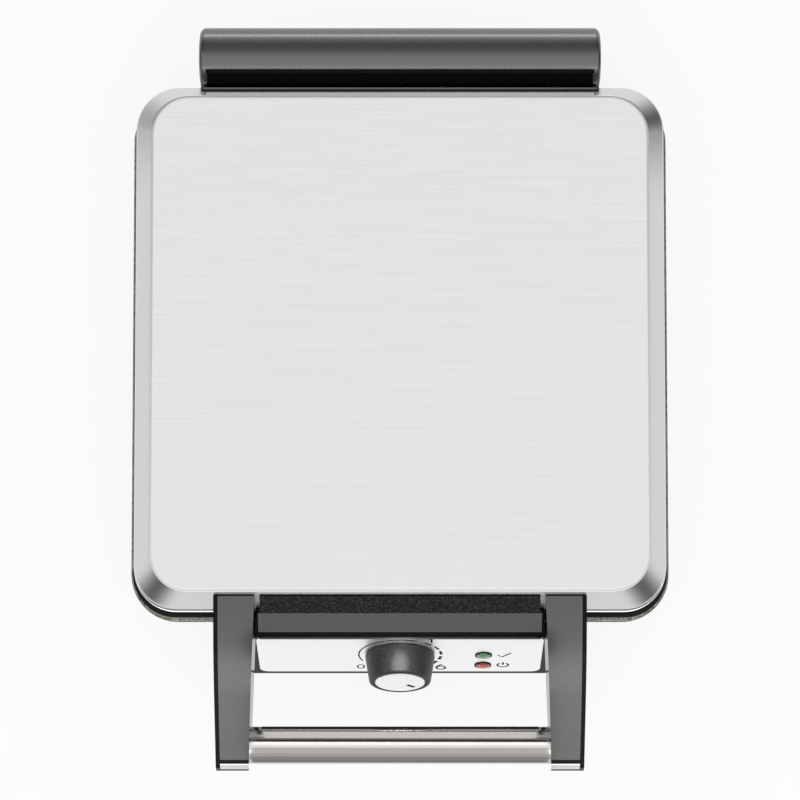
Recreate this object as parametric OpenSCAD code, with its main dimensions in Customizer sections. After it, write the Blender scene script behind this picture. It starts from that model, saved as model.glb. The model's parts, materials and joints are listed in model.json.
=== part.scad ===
// Square waffle maker: steel lid on a rear hinge, deep front handle, sloped control box.
// Millimetres, +Z up, +X to the user's right, -Y towards the user.
// The origin is the middle of the footprint, on the surface that the feet stand on.

/* [Lid] */
// Distance of the lid's hem from the plates' edge at the sides
lid_side_margin = 8.3; // [7:0.1:16]
// Distance of the lid's hem from the plates' edge at the front and the back
lid_end_margin = 6.55; // [6:0.05:16]
// Corner radius of the flat top panel
panel_corner_r = 19; // [12:0.5:26]
// Thickness of the flat top panel
panel_t = 0.8; // [0.5:0.1:1.5]
// Width of the narrow ledge around the panel
ledge_w = 2.1; // [1:0.1:4]
// Width of the bevel at the sides and the front
bevel_w = 8.2; // [6:0.1:12]
// Width of the bevel at the back
rear_bevel_w = 5.7; // [4:0.1:9]
// Fall of the bevel from the ledge
bevel_drop = 12; // [8:0.5:15]
// Outward flare of the lid wall from the bevel to the hem
wall_flare = 2; // [0.5:0.1:4]
// Corner radius of the lid at its hem
lid_corner_r = 23; // [18:0.5:28]
// Height of the lid from its hem to its top
lid_h = 35; // [33:0.5:42]
// Thickness of the lid's sheet steel
sheet_t = 1.5; // [1:0.1:2]

/* [Base] */
// Height of the base's rim above the table
base_h = 60; // [54:0.5:70]
// Open seam between the base's rim and the lid's hem
seam_gap = 2; // [1:0.1:4]
// How far the base stands out past the lid at each side
base_side_reach = 1.6; // [0.5:0.1:5]
// How far the base stands out past the lid at the front
base_front_reach = 5.2; // [2:0.1:8]
// Corner radius of the base
base_corner_r = 25.5; // [20:0.5:30]
// Thickness of the steel band around the base
band_t = 1.2; // [0.8:0.1:1.6]
// Height of the plastic skirt that shows below the steel band
skirt_h = 20; // [18:0.5:28]
// Wall thickness of the base's plastic housing
wall_t = 3; // [2:0.1:4]
// Thickness of the bottom cover
floor_t = 2.5; // [2:0.1:4]
// Height of the rubber feet
foot_h = 6; // [4:0.5:8]
// Radius of a rubber foot
foot_r = 10; // [8:0.5:13]
// Distance of a foot's middle from the base's sides
foot_inset = 32; // [28:0.5:44]

/* [Waffle plates] */
// Side of one waffle square
cell_w = 108; // [90:1:122]
// Width of the ridges between the waffle squares
ridge_w = 6; // [4:0.5:8]
// Depth of each mould half, from rim to pocket floor
mould_depth = 9.5; // [8.5:0.1:11]
// Height of the studs that press the grid
stud_h = 6; // [4:0.1:7]
// Number of studs along one waffle square
stud_count = 4; // [3:1:5]
// Width of the grooves between the studs, at their tips
stud_gap = 8; // [7:0.5:12]
// Extra width of a stud at its foot
stud_draft = 4; // [2:0.5:5]
// Thickness of a plate behind its pockets
plate_t = 3; // [2:0.1:4]
// Thickness of a plate's outer flange
flange_t = 3; // [2.5:0.1:4]
// Width of a plate's flange outside the mould body
flange_w = 17; // [15:0.5:18]
// Gap between the closed plates
plate_gap = 0.5; // [0.3:0.1:1]
// Width of the overflow channel around the lower mould
moat_w = 7; // [4:0.5:8]
// Depth of the overflow channel
moat_depth = 1.6; // [1:0.1:1.8]
// Radius of the heating element's tube
element_r = 3.25; // [2.5:0.05:4]
// Thickness of the heat reflectors
reflector_t = 0.8; // [0.5:0.1:1.2]

/* [Hinge] */
// Height of the hinge axis above the base's rim
hinge_rise = 8; // [6:0.5:10]
// Distance of the hinge axis behind the lid's bevel
hinge_setback = 18.15; // [17.5:0.05:20]
// Outer radius of the hinge cover
cover_r = 17; // [16:0.1:17.5]
// Wall thickness of the hinge cover
cover_t = 2.2; // [1.8:0.1:2.6]
// Length of the hinge cover
cover_l = 214.8; // [200:0.2:220]
// Thickness of a hinge cover end cap
cover_cap_t = 3.6; // [3:0.1:5]
// Radius of the hinge shaft
shaft_r = 3; // [2.5:0.1:3.5]
// Distance of each hinge bracket from the middle
bracket_x = 70; // [50:1:80]
// Width of a hinge bracket's barrel
barrel_w = 20; // [16:0.5:26]
// Thickness of a lid hinge lug
lug_t = 3; // [2.5:0.1:4]

/* [Handle] */
// Distance of the handle's rear edge in front of the top panel
handle_root_gap = 3.35; // [2.6:0.05:4]
// Length of the handle arms
arm_length = 92.75; // [86:0.25:110]
// Length of the curved rear part of the arms
arm_bend_length = 52.7; // [40:0.1:60]
// Downward slope of the arms' straight front part
arm_slope = 22; // [16:0.5:25]
// Gap between the top of the textured bracket and an arm
arm_side_gap = 2.7; // [1.5:0.1:6]
// Width of an arm at the lid
arm_root_w = 21.5; // [19:0.5:24]
// Width of an arm at its front end
arm_tip_w = 17.2; // [15:0.1:20]
// Width of the dark edge outside an arm's top cover
arm_edge_w = 2.3; // [1.5:0.1:4]
// Thickness of an arm's top cover
arm_cover_t = 1.4; // [1:0.1:2]
// Length of the bright cap at an arm's front end
arm_cap_l = 4; // [3:0.1:6]
// Groove between an arm's top cover and its end cap
arm_groove = 2.2; // [1:0.1:3]
// Distance of the handle bar from the handle's rear edge
bar_reach = 79.4; // [70:0.1:79.4]
// Radius of the handle bar
bar_r = 9.9; // [8:0.1:11]
// Wall thickness of the handle bar's tube
bar_wall = 1.5; // [1:0.1:2.5]
// Width of the textured bracket between the arms
bracket_top_w = 146.6; // [136:0.1:156]
// Depth of the textured bracket, from its rear edge to its front face
bracket_l = 17.7; // [14:0.1:20]
// Depth of the bracket's raised rear step
bracket_step_l = 9; // [5:0.1:11]
// Fall of the bracket's slope from the step to the front face
bracket_fall = 5; // [3:0.1:7]
// Height of the smooth strip on the bracket's front face
trim_h = 4; // [2:0.1:6]
// Thickness of the smooth strip
trim_t = 1.2; // [0.8:0.1:1.6]

/* [Controls] */
// Width of the control box
control_w = 180; // [168:1:190]
// Depth of the control box's flat top
control_shelf = 8; // [5:0.1:11]
// Backward tilt of the control face
control_tilt = 22; // [15:0.5:24]
// Drop from the base's rim to the control box's top
control_drop = 2; // [1:0.1:5]
// Width of the steel fascia
fascia_w = 154.4; // [140:0.1:160]
// Edge of the control face above the steel fascia
fascia_top_margin = 0.6; // [0.4:0.1:2]
// Edge of the control face below the steel fascia
fascia_foot_margin = 2.9; // [2:0.1:6]
// Thickness of the steel fascia
fascia_t = 1.2; // [0.8:0.1:1.6]
// Radius of the knob at its foot
knob_foot_r = 19; // [16:0.1:22]
// Radius of the knob at its front
knob_front_r = 16.6; // [15:0.1:18]
// Length of the knob
knob_l = 15; // [12:0.1:18]
// Radius of the knob's steel cap
knob_cap_r = 13.5; // [10:0.1:14]
// Radius of the thermostat spindle
spindle_r = 3; // [2.5:0.1:3.5]
// Radius of an indicator lamp's lens
lens_r = 3.9; // [3:0.1:5]
// Distance of the lamps from the middle
lamp_x = 45.5; // [38:0.5:60]
// Distance of the lower lamp from the fascia's lower edge
lamp_foot = 10.3; // [9:0.1:14]
// Distance between the two lamps
lamp_pitch = 15.4; // [12:0.1:18]
// Radius of the cord's hole in the rear gland
cord_hole_r = 3.6; // [3:0.1:4.5]

/* [Hidden] */

$fn = 64;
// Named clearances
slip = 0.05;        // radial clearance of a shaft in its hole
ease = 0.3;         // clearance between pieces that only pass each other
seat = 0.1;         // clearance of a screw in its hole
through = 1;        // how far a cut runs past the face it opens

// Heights
hem_z = base_h + seam_gap;
lid_top_z = hem_z + lid_h;
panel_z = lid_top_z - panel_t;
brow_z = panel_z - bevel_drop;
part_z = base_h + seam_gap / 2;
floor_z = foot_h + floor_t;

// Plates, in plan
cell_pitch = cell_w + ridge_w;
mould_half = cell_w + ridge_w * 1.5;
plate_half = mould_half + flange_w;

// Lid outline around the plates: hem, brow (the bevel's lower edge), ledge and panel
hem_x = plate_half + lid_side_margin;
brow_x = hem_x - wall_flare;
ledge_x = brow_x - bevel_w;
ledge_y = plate_half + lid_end_margin - wall_flare - (bevel_w + rear_bevel_w) / 2;
ledge_r = panel_corner_r + ledge_w;
panel_w = 2 * (ledge_x - ledge_w);
panel_d = 2 * (ledge_y - ledge_w);
brow_front = -(ledge_y + bevel_w);
brow_back = ledge_y + rear_bevel_w;
hem_front = brow_front - wall_flare;
hem_back = brow_back + wall_flare;
edge_t = 0.02;      // thickness of the slabs that the lid's slopes span

// Base outline
hinge_y = brow_back + hinge_setback;
hinge_z = base_h + hinge_rise;
hinge_clear = 1;    // from the turning hinge cover to the base
base_x = hem_x + base_side_reach;
base_front = hem_front - base_front_reach;
base_back = hinge_y - cover_r - hinge_clear;
base_mid_y = (base_front + base_back) / 2;

// Plates, in height
plate_y = (hem_front + hem_back) / 2;
plate_r = 14;       // corner radius of a plate's flange
plate_back = plate_gap / 2 + mould_depth + plate_t;
flange_back = plate_gap / 2 + flange_t;
tray_half = mould_half + 3;
tray_depth = plate_back + 2 * element_r + reflector_t;
frame_t = 3;
frame_window = tray_half + 0.5;
post_r = 4;
post_x = frame_window + post_r + 2;
post_y = 60;
frame_screw_l = 14;
plate_screw_y = plate_half - 5;
plate_screw_x = 60;
element_bend_r = 20;
element_leg_inset = 39;     // from the moulds' outer side to a straight leg
element_end_inset = 25;     // from the moulds' outer side to the element's ends
element_leg_x = mould_half - element_leg_inset;
element_reach = mould_half - element_end_inset;

// Screws
screw_r = 1.5;
head_r = 3;
head_h = 1.5;

// Handle side view: root, curve, straight run
root_y = -(panel_d / 2 + handle_root_gap);
root_z = bevel_surface_z(root_y);
arm_front_y = root_y - arm_length;
bend_r = arm_bend_length / sin(arm_slope);
arm_inner_root_x = bracket_top_w / 2 + arm_side_gap;
arm_outer_x = arm_inner_root_x + arm_root_w;
arm_inner_tip_x = arm_outer_x - arm_tip_w;
bar_drop = 12.3;    // bar's middle below the arm's top
bar_y = root_y - bar_reach;
bar_z = arm_top_z(bar_y) - bar_drop;
arm_under = 1.6;    // arm below the bar
arm_root_z = hem_z + 4;
cap_y = arm_front_y + arm_cap_l + arm_groove;
bracket_front_y = root_y - bracket_l;
bracket_step_y = root_y - bracket_step_l;
bracket_base_z = hem_z + 5;
bracket_rear_z = root_z - 1.2;
bracket_step_z = bracket_rear_z - 1.8;
bracket_front_z = bracket_step_z - bracket_fall;
handle_screw_x = 45;
handle_screw_rise = 13;     // above the lid's hem
handle_screw_z = hem_z + handle_screw_rise;
handle_screw_l = 9;

// Control box: a plane that leans back, with its own frame at the fascia's middle
control_top_z = base_h - control_drop;
control_front_y = base_front - control_shelf;
control_wall = 3;
slope_l = (control_top_z - foot_h) / cos(control_tilt);
fascia_h = slope_l - fascia_top_margin - fascia_foot_margin;
fascia_mid = fascia_top_margin + fascia_h / 2;
face_y = control_front_y - fascia_mid * sin(control_tilt);
face_z = control_top_z - fascia_mid * cos(control_tilt);
bush_r = spindle_r + 1.5;
knob_gap = 1;
knob_cap_t = 1.2;
knob_recess = 1;
thermostat_size = [32, 26, 17];
bracket_plate_t = 1.2;
lamp_low = lamp_foot - fascia_h / 2;
bezel_w = 0.85;
window_x = 80;
window_low_z = floor_z + 3;
window_top_z = base_h - 9;

// Rear gland and inner electrics
terminal_inset = 45;
gland_flange_t = 2.5;
gland_flange_r = 7.5;
gland_neck_r = 6;
gland_z = foot_h + skirt_h - gland_flange_r - 2;
band_low_z = foot_h + skirt_h;
foot_x = base_x - foot_inset;
foot_front_y = base_front + foot_inset;
foot_back_y = base_back - foot_inset;

// Hinge angles, measured from +Y upwards around the hinge axis
cover_start = -8;
cover_end = 119;
bracket_angle = 224;
base_bracket_t = 3;
barrel_r = 7;
arm_thick = 8;
lug_r = 7.5;
trough_rise = 10;   // trough's floor above the hinge axis
trough_setback = 9; // trough's back wall in front of the hinge axis
trough_z = hinge_z + trough_rise;
trough_back = hinge_y - trough_setback;
trough_front = brow_back + 2.9;
cover_front_t = 2;
cover_foot_z = hinge_z - 1.5;
hinge_screw_drop = 31;      // base hinge screws below the hinge axis
hinge_screw_inset = 4;      // base hinge screws inside the bracket's side

// Lip of the hinge cover that lies on the lid's rear bevel
lip_bend_y = brow_back + 2.1;
lip_bend_z = trough_z + 5;
lip_back_y = brow_back - 0.2;
lip_back_z = trough_z + 11.6;
lip_top_y = brow_back - 2;
lip_top_z = trough_z + 12.1;
lip_front_y = brow_back - 2.45;

// The middle of the whole length, brought to y = 0
back_y = hinge_y + cover_r;
middle_y = (arm_front_y + back_y) / 2;

// Height of the front bevel's surface at a given y
function bevel_surface_z(y) = panel_z - (-y - ledge_y) * bevel_drop / bevel_w;

// Height of the rear bevel's surface at a given y
function rear_bevel_z(y) = panel_z - (y - ledge_y) * bevel_drop / rear_bevel_w;

// How far the lid's outer wall has flared out at a given height
function flare_at(z) = wall_flare * (brow_z + edge_t - z) / (brow_z - hem_z);

// Height of an arm's top surface at a given y
function arm_top_z(y) =
    let (ahead = root_y - y)
    ahead < arm_bend_length
        ? root_z - bend_r + sqrt(bend_r * bend_r - ahead * ahead)
        : root_z - bend_r * (1 - cos(arm_slope)) - (ahead - arm_bend_length) * tan(arm_slope);

// Points of an arc around the hinge axis, from one angle to another
function hinge_arc(r, from, to, steps) =
    [for (i = [0:steps]) let (a = from + (to - from) * i / steps)
        [hinge_y + r * cos(a), hinge_z + r * sin(a)]];

// Points along an arm's top, from one y to another
function arm_top_points(from, to, steps, lower) =
    [for (i = [0:steps]) let (y = from + (to - from) * i / steps) [y, arm_top_z(y) - lower]];

// Puts a sub-part that is drawn from the panel's middle into the part's own frame
module placed() {
    translate([0, -middle_y, 0]) children();
}

// Rectangle with round corners, centred
module rounded_area(w, d, r) {
    square([w - 2 * r, d], center = true);
    square([w, d - 2 * r], center = true);
    for (sx = [-1, 1], sy = [-1, 1])
        translate([sx * (w / 2 - r), sy * (d / 2 - r)]) circle(r);
}

// Rounded slab from a front y to a back y
module slab(half_w, front, back, r, z, h) {
    translate([0, (front + back) / 2, z])
        linear_extrude(h) rounded_area(2 * half_w, back - front, r);
}

// Rounded slab around the middle of the plates
module plate_slab(half, r, z, h) {
    slab(half, plate_y - half, plate_y + half, r, z, h);
}

// Side view outline (y, z) drawn out along x
module side_extrude(width) {
    rotate([90, 0, 90]) linear_extrude(width, center = true) children();
}

// Cylinder along x, centred
module rod(r, length) {
    rotate([0, 90, 0]) cylinder(r = r, h = length, center = true);
}

// Screw with its head's top at z = 0 and its shank pointing down
module screw(r, length, top_r, top_h) {
    translate([0, 0, -top_h]) cylinder(r = top_r, h = top_h);
    translate([0, 0, -top_h - length]) cylinder(r = r, h = length + top_h / 2);
}

// The space that the same screw needs, open at its head
module screw_space(r, length, top_r, top_h) {
    translate([0, 0, -top_h]) cylinder(r = top_r + seat, h = top_h + through);
    translate([0, 0, -top_h - length - seat]) cylinder(r = r + seat, h = length + top_h + seat);
}

module countersunk() {
    screw(screw_r, frame_screw_l, head_r, head_h);
}

module countersunk_space() {
    screw_space(screw_r, frame_screw_l, head_r, head_h);
}

// Turns a lower piece into its mate above the parting plane
module above_parting() {
    translate([0, 0, 2 * part_z]) mirror([0, 0, 1]) children();
}

// ---------- lid ----------

// Bevelled block of the lid, with every face moved inwards by the inset
module lid_solid(inset, below) {
    brow_low = brow_z - inset / 2 - edge_t;
    hull() {
        slab(ledge_x - inset, -ledge_y + inset, ledge_y - inset, ledge_r - inset,
            panel_z - inset - edge_t, edge_t);
        slab(brow_x - inset, brow_front + inset, brow_back - inset, lid_corner_r - inset,
            brow_low, edge_t);
    }
    hull() {
        slab(brow_x - inset, brow_front + inset, brow_back - inset, lid_corner_r - inset,
            brow_low, edge_t);
        slab(hem_x - inset, hem_front + inset, hem_back - inset, lid_corner_r - inset,
            hem_z - below, edge_t);
    }
}

module lid_shell() {
    color([0.80, 0.80, 0.80]) placed() difference() {
        lid_solid(0, 0);
        lid_solid(sheet_t, through);
        handle_screw_spaces();
        lid_hinge_screw_spaces();
    }
}

module lid_top_panel() {
    color([0.90, 0.90, 0.90]) placed()
        slab(panel_w / 2, -panel_d / 2, panel_d / 2, panel_corner_r, panel_z, panel_t);
}

module at_posts() {
    for (sx = [-1, 1], sy = [-1, 1])
        translate([sx * post_x, plate_y + sy * post_y, 0]) children();
}

module lid_inner_frame() {
    low = part_z + flange_back;
    under_top = panel_z - sheet_t;
    inset = sheet_t + ease - flare_at(low + frame_t);
    color([0.25, 0.25, 0.26]) placed() difference() {
        union() {
            slab(brow_x - inset, brow_front + inset, brow_back - inset, lid_corner_r - sheet_t - ease,
                low, frame_t);
            at_posts() translate([0, 0, low]) cylinder(r = post_r, h = under_top - low);
        }
        plate_slab(frame_window, plate_r / 2, low - through, frame_t + 2 * through);
        at_posts() translate([0, 0, low]) mirror([0, 0, 1]) countersunk_space();
        at_plate_screws() translate([0, 0, part_z + plate_gap / 2]) mirror([0, 0, 1]) plate_screw_space();
    }
}

module lid_frame_screws() {
    color([0.6, 0.6, 0.6]) placed()
        at_posts() translate([0, 0, part_z + flange_back]) mirror([0, 0, 1]) countersunk();
}

// ---------- waffle plates ----------

module at_cells() {
    for (sx = [-1, 1], sy = [-1, 1])
        translate([sx * cell_pitch / 2, plate_y + sy * cell_pitch / 2, 0]) children();
}

// Straight ribs along y whose sides lean in towards the tip
module stud_ribs() {
    pitch = cell_w / stud_count;
    tip = (pitch - stud_gap) / 2;
    foot = tip + stud_draft / 2;
    rotate([90, 0, 0]) linear_extrude(cell_w - ridge_w, center = true)
        for (i = [0:stud_count - 1])
            translate([(i - (stud_count - 1) / 2) * pitch, 0])
                polygon([[-foot, 0], [foot, 0], [tip, stud_h], [-tip, stud_h]]);
}

// One waffle square's studs: ribs along y crossed with ribs along x
module cell_studs() {
    intersection() {
        stud_ribs();
        rotate([0, 0, 90]) stud_ribs();
    }
}

module at_plate_screws() {
    for (sx = [-1, 1], sy = [-1, 1])
        translate([sx * plate_screw_x, plate_y + sy * plate_screw_y, 0]) children();
}

module plate_screw() {
    screw(screw_r, flange_t + frame_t - head_h - 0.5, head_r, head_h);
}

module plate_screw_space() {
    screw_space(screw_r, flange_t + frame_t - head_h - 0.5, head_r, head_h);
}

// Plate below the parting plane, open upwards
module waffle_plate(moat) {
    face = part_z - plate_gap / 2;
    pocket = face - mould_depth;
    difference() {
        union() {
            plate_slab(plate_half, plate_r, face - flange_t, flange_t);
            plate_slab(mould_half, plate_r / 2, pocket - plate_t, mould_depth + plate_t);
        }
        at_cells() translate([-cell_w / 2, -cell_w / 2, pocket])
            cube([cell_w, cell_w, mould_depth + through]);
        if (moat) difference() {
            plate_slab(mould_half + moat_w, plate_r / 2 + moat_w, face - moat_depth,
                moat_depth + through);
            plate_slab(mould_half, plate_r / 2, face - moat_depth - through,
                moat_depth + 3 * through);
        }
        at_plate_screws() translate([0, 0, face]) plate_screw_space();
    }
    at_cells() translate([0, 0, pocket]) cell_studs();
}

module lower_waffle_plate() {
    color([0.16, 0.16, 0.17]) placed() waffle_plate(true);
}

module upper_waffle_plate() {
    color([0.16, 0.16, 0.17]) placed() above_parting() waffle_plate(false);
}

module lower_plate_screws() {
    color([0.6, 0.6, 0.6]) placed()
        at_plate_screws() translate([0, 0, part_z - plate_gap / 2]) plate_screw();
}

module upper_plate_screws() {
    color([0.6, 0.6, 0.6]) placed() above_parting()
        at_plate_screws() translate([0, 0, part_z - plate_gap / 2]) plate_screw();
}

// Tubular element: two legs, a front run and round bends, with thin terminal pins
module heating_element() {
    pin_l = 12;
    leg_start = -element_reach + element_bend_r;
    translate([0, plate_y, part_z - plate_back - element_r]) {
        for (sx = [-1, 1]) {
            translate([sx * element_leg_x, leg_start, 0]) rotate([-90, 0, 0])
                cylinder(r = element_r, h = 2 * element_reach - element_bend_r);
            translate([sx * element_leg_x, element_reach, 0]) rotate([-90, 0, 0])
                cylinder(r = element_r / 2, h = pin_l);
            translate([sx * (element_leg_x - element_bend_r), leg_start, 0])
                rotate([0, 0, sx > 0 ? 270 : 180]) rotate_extrude(angle = 90)
                    translate([element_bend_r, 0]) circle(element_r);
        }
        translate([0, -element_reach, 0]) rod(element_r, 2 * (element_leg_x - element_bend_r));
    }
}

module lower_heating_element() {
    color([0.35, 0.33, 0.32]) placed() heating_element();
}

module upper_heating_element() {
    color([0.35, 0.33, 0.32]) placed() above_parting() heating_element();
}

module heat_reflector() {
    low = part_z - tray_depth;
    wall_top = part_z - flange_back;
    difference() {
        plate_slab(tray_half, plate_r / 2, low, wall_top - low);
        plate_slab(tray_half - reflector_t, plate_r / 2 - reflector_t, low + reflector_t,
            wall_top - low);
    }
}

module lower_heat_reflector() {
    color([0.75, 0.75, 0.76]) placed() heat_reflector();
}

module upper_heat_reflector() {
    color([0.75, 0.75, 0.76]) placed() above_parting() heat_reflector();
}

// ---------- hinge ----------

// Outer edge of the cover: round back, trough, lip on the bevel, wall down the lid's back
function cover_outer() = concat(
    hinge_arc(cover_r, cover_start, cover_end, 40),
    [
        [trough_back, trough_z],
        [trough_front, trough_z],
        [lip_bend_y, lip_bend_z],
        [lip_back_y, lip_back_z],
        [lip_top_y, lip_top_z],
        [lip_front_y, rear_bevel_z(lip_front_y)],
        [brow_back, brow_z],
        [brow_back + flare_at(cover_foot_z), cover_foot_z]
    ]);

// Inner edge of the cover, from the front wall's foot back to the round back's foot
function cover_inner() = concat(
    [
        [hem_back + cover_front_t, cover_foot_z],
        [hem_back + cover_front_t, trough_z - cover_t],
        [trough_back + cover_t, trough_z - cover_t],
        [trough_back + cover_t, trough_z + 2]
    ],
    hinge_arc(cover_r - cover_t, cover_end - 3, cover_start, 40));

module hinge_cover() {
    color([0.30, 0.30, 0.31]) placed() difference() {
        side_extrude(cover_l - 2 * cover_cap_t) polygon(concat(cover_outer(), cover_inner()));
        lid_hinge_screw_spaces();
    }
}

module hinge_cover_strip() {
    strip_t = 0.8;
    margin = 0.4;
    color([0.02, 0.02, 0.02]) placed()
        translate([0, (trough_front + trough_back) / 2, trough_z + strip_t / 2])
            cube([cover_l - 2 * cover_cap_t - 2 * margin,
                trough_back - trough_front - 2 * margin, strip_t], center = true);
}

module hinge_end_cap(side) {
    round_r = cover_cap_t - 0.2;
    outer_x = cover_l / 2;
    placed() {
        difference() {
            translate([side * (outer_x - cover_cap_t), hinge_y, hinge_z]) rotate([0, side * 90, 0])
                rotate_extrude() {
                    square([cover_r - round_r, cover_cap_t]);
                    square([cover_r, cover_cap_t - round_r]);
                    intersection() {
                        translate([cover_r - round_r, cover_cap_t - round_r]) circle(round_r);
                        square([cover_r, cover_cap_t]);
                    }
                }
            side_extrude(cover_l + 2 * through) polygon([
                [brow_back, brow_z], [brow_back + flare_at(hem_z), hem_z],
                [brow_back - cover_r, hem_z], [brow_back - cover_r, brow_z]]);
        }
        translate([side * (outer_x - cover_cap_t * 0.75), 0, 0]) side_extrude(cover_cap_t / 2)
            polygon(concat([[hinge_y, hinge_z]], [for (p = cover_outer()) if (p[0] < hinge_y) p]));
    }
}

module hinge_end_cap_left() {
    color([0.26, 0.26, 0.27]) hinge_end_cap(-1);
}

module hinge_end_cap_right() {
    color([0.26, 0.26, 0.27]) hinge_end_cap(1);
}

module at_brackets() {
    for (sx = [-1, 1]) translate([sx * bracket_x, 0, 0]) children();
}

// Fork on the lid's back: a screwed plate with a lug on each side of the barrel
module lid_hinge_brackets() {
    plate_front = hem_back + cover_front_t;
    plate_thick = 2.5;
    low = hinge_z - lug_r + 4;
    high = hinge_z + lug_r;
    span = barrel_w + 2 * ease;
    color([0.55, 0.56, 0.57]) placed() difference() {
        at_brackets() {
            translate([-span / 2 - lug_t, plate_front, low])
                cube([span + 2 * lug_t, plate_thick, high - low]);
            for (sx = [-1, 1]) translate([sx * (span + lug_t) / 2, 0, 0]) {
                side_extrude(lug_t) translate([plate_front, low])
                    square([hinge_y - plate_front, high - low]);
                translate([0, hinge_y, hinge_z]) rod(lug_r, lug_t);
            }
        }
        translate([0, hinge_y, hinge_z]) rod(shaft_r + slip, cover_l);
        lid_hinge_screw_spaces();
    }
}

module at_lid_hinge_screws() {
    at_brackets() for (sx = [-1, 1])
        translate([sx * (barrel_w / 2 - 4), brow_back - sheet_t - 0.5, hinge_z + 3])
            rotate([90, 0, 0]) children();
}

module lid_hinge_screws() {
    color([0.6, 0.6, 0.6]) placed() at_lid_hinge_screws() lid_hinge_screw();
}

module lid_hinge_screw() {
    translate([0, 0, head_h]) screw(screw_r, hinge_screw_l(), head_r, head_h);
}

// Length from the lid's inner face to the back of the fork's plate
function hinge_screw_l() = hem_back + cover_front_t + 2.5 - (brow_back - sheet_t - 0.5);

module lid_hinge_screw_spaces() {
    at_lid_hinge_screws() translate([0, 0, -hinge_screw_l() - through])
        cylinder(r = screw_r + seat, h = hinge_screw_l() + through + seat);
}

module hinge_shaft() {
    color([0.70, 0.71, 0.72]) placed()
        translate([0, hinge_y, hinge_z]) rod(shaft_r, cover_l - 2 * cover_cap_t - 2);
}

// Arm that rises from the base's back wall to the hinge axis
module base_hinge_brackets() {
    foot_l = 20;
    foot_top = hinge_z - 15;
    arm_l = (hinge_y - base_back) / -cos(bracket_angle);
    color([0.50, 0.51, 0.52]) placed() difference() {
        at_brackets() {
            side_extrude(barrel_w) difference() {
                union() {
                    translate([hinge_y, hinge_z]) circle(barrel_r);
                    translate([hinge_y, hinge_z]) rotate(bracket_angle)
                        translate([0, -arm_thick / 2]) square([arm_l + 6, arm_thick]);
                    translate([base_back, foot_top - foot_l]) square([base_bracket_t, foot_l]);
                }
                translate([base_back - 20, foot_top - foot_l - 20]) square([20, 100]);
            }
        }
        translate([0, hinge_y, hinge_z]) rod(shaft_r + 1.5, cover_l);
        base_hinge_screw_spaces();
    }
}

module at_base_hinge_screws() {
    at_brackets() for (sx = [-1, 1])
        translate([sx * (barrel_w / 2 - hinge_screw_inset), base_back + base_bracket_t,
            hinge_z - hinge_screw_drop]) rotate([-90, 0, 0]) children();
}

module base_hinge_screws() {
    color([0.6, 0.6, 0.6]) placed() at_base_hinge_screws() translate([0, 0, head_h])
        screw(screw_r, base_bracket_t + band_t + wall_t, head_r, head_h);
}

module base_hinge_screw_spaces() {
    deep = base_bracket_t + band_t + wall_t + through;
    at_base_hinge_screws() translate([0, 0, -deep]) cylinder(r = screw_r + seat, h = deep + through);
}

module hinge_bushes() {
    color([0.75, 0.60, 0.32]) placed() at_brackets()
        translate([0, hinge_y, hinge_z]) difference() {
            rod(shaft_r + 1.5, barrel_w);
            rod(shaft_r + slip, barrel_w + 2 * through);
        }
}

// ---------- handle ----------

// Rear edge of anything that sits on the lid's front: bevel, then wall down to a height
function lid_front_edge(low_z) = [
    [root_y, root_z],
    [brow_front, brow_z],
    [brow_front - flare_at(low_z), low_z]
];

function arm_side_view() = concat(
    lid_front_edge(arm_root_z),
    [
        [bar_y + 14, bar_z - bar_r - arm_under + 1.5],
        [bar_y + 4, bar_z - bar_r - arm_under],
        [bar_y - 6, bar_z - bar_r - arm_under + 1],
        [arm_front_y + 1.2, bar_z - bar_r + 3],
        [arm_front_y, bar_z - bar_r + 8],
        [arm_front_y, arm_top_z(arm_front_y) - 4.5],
        [arm_front_y + 1.8, arm_top_z(arm_front_y + 1.8) - 0.6]
    ],
    arm_top_points(arm_front_y + 3.5, root_y, 40, 0));

// Plan of an arm between two y values, less an outer edge strip, plus an inner overrun
module arm_plan(from, to, edge, overrun) {
    polygon([[inner_x(from) - overrun, from], [arm_outer_x - edge, from],
        [arm_outer_x - edge, to], [inner_x(to) - overrun, to]]);
}

// Inner face of the right arm at a given y
function inner_x(y) = arm_inner_root_x
    + (arm_inner_tip_x - arm_inner_root_x) * (root_y - y) / arm_length;

module arm_outline() {
    intersection() {
        translate([arm_outer_x - arm_root_w / 2, 0, 0])
            side_extrude(arm_root_w + 4) polygon(arm_side_view());
        linear_extrude(lid_top_z) arm_plan(arm_front_y - through, root_y + through, 0, 0);
    }
}

// Shallow pocket along the top for the cover
module arm_cover_space() {
    intersection() {
        translate([arm_outer_x - arm_root_w / 2, 0, 0]) side_extrude(arm_root_w + 4)
            polygon(concat(arm_top_points(root_y, cap_y, 40, arm_cover_t),
                arm_top_points(cap_y, root_y, 40, -through)));
        linear_extrude(lid_top_z + 2 * through)
            arm_plan(cap_y, root_y + through, arm_edge_w, through);
    }
}

// Block at the front end that becomes the bright cap
module arm_cap_space() {
    linear_extrude(lid_top_z)
        arm_plan(arm_front_y - through, arm_front_y + arm_cap_l, arm_edge_w, through);
}

module handle_arm(side) {
    placed() mirror([side < 0 ? 1 : 0, 0, 0]) difference() {
        arm_outline();
        arm_cover_space();
        arm_cap_space();
    }
}

module arm_cover(side) {
    placed() mirror([side < 0 ? 1 : 0, 0, 0]) intersection() {
        arm_outline();
        arm_cover_space();
    }
}

module arm_end_cap(side) {
    placed() mirror([side < 0 ? 1 : 0, 0, 0]) intersection() {
        arm_outline();
        arm_cap_space();
    }
}

module handle_arm_left() {
    color([0.07, 0.07, 0.07]) handle_arm(-1);
}

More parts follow.
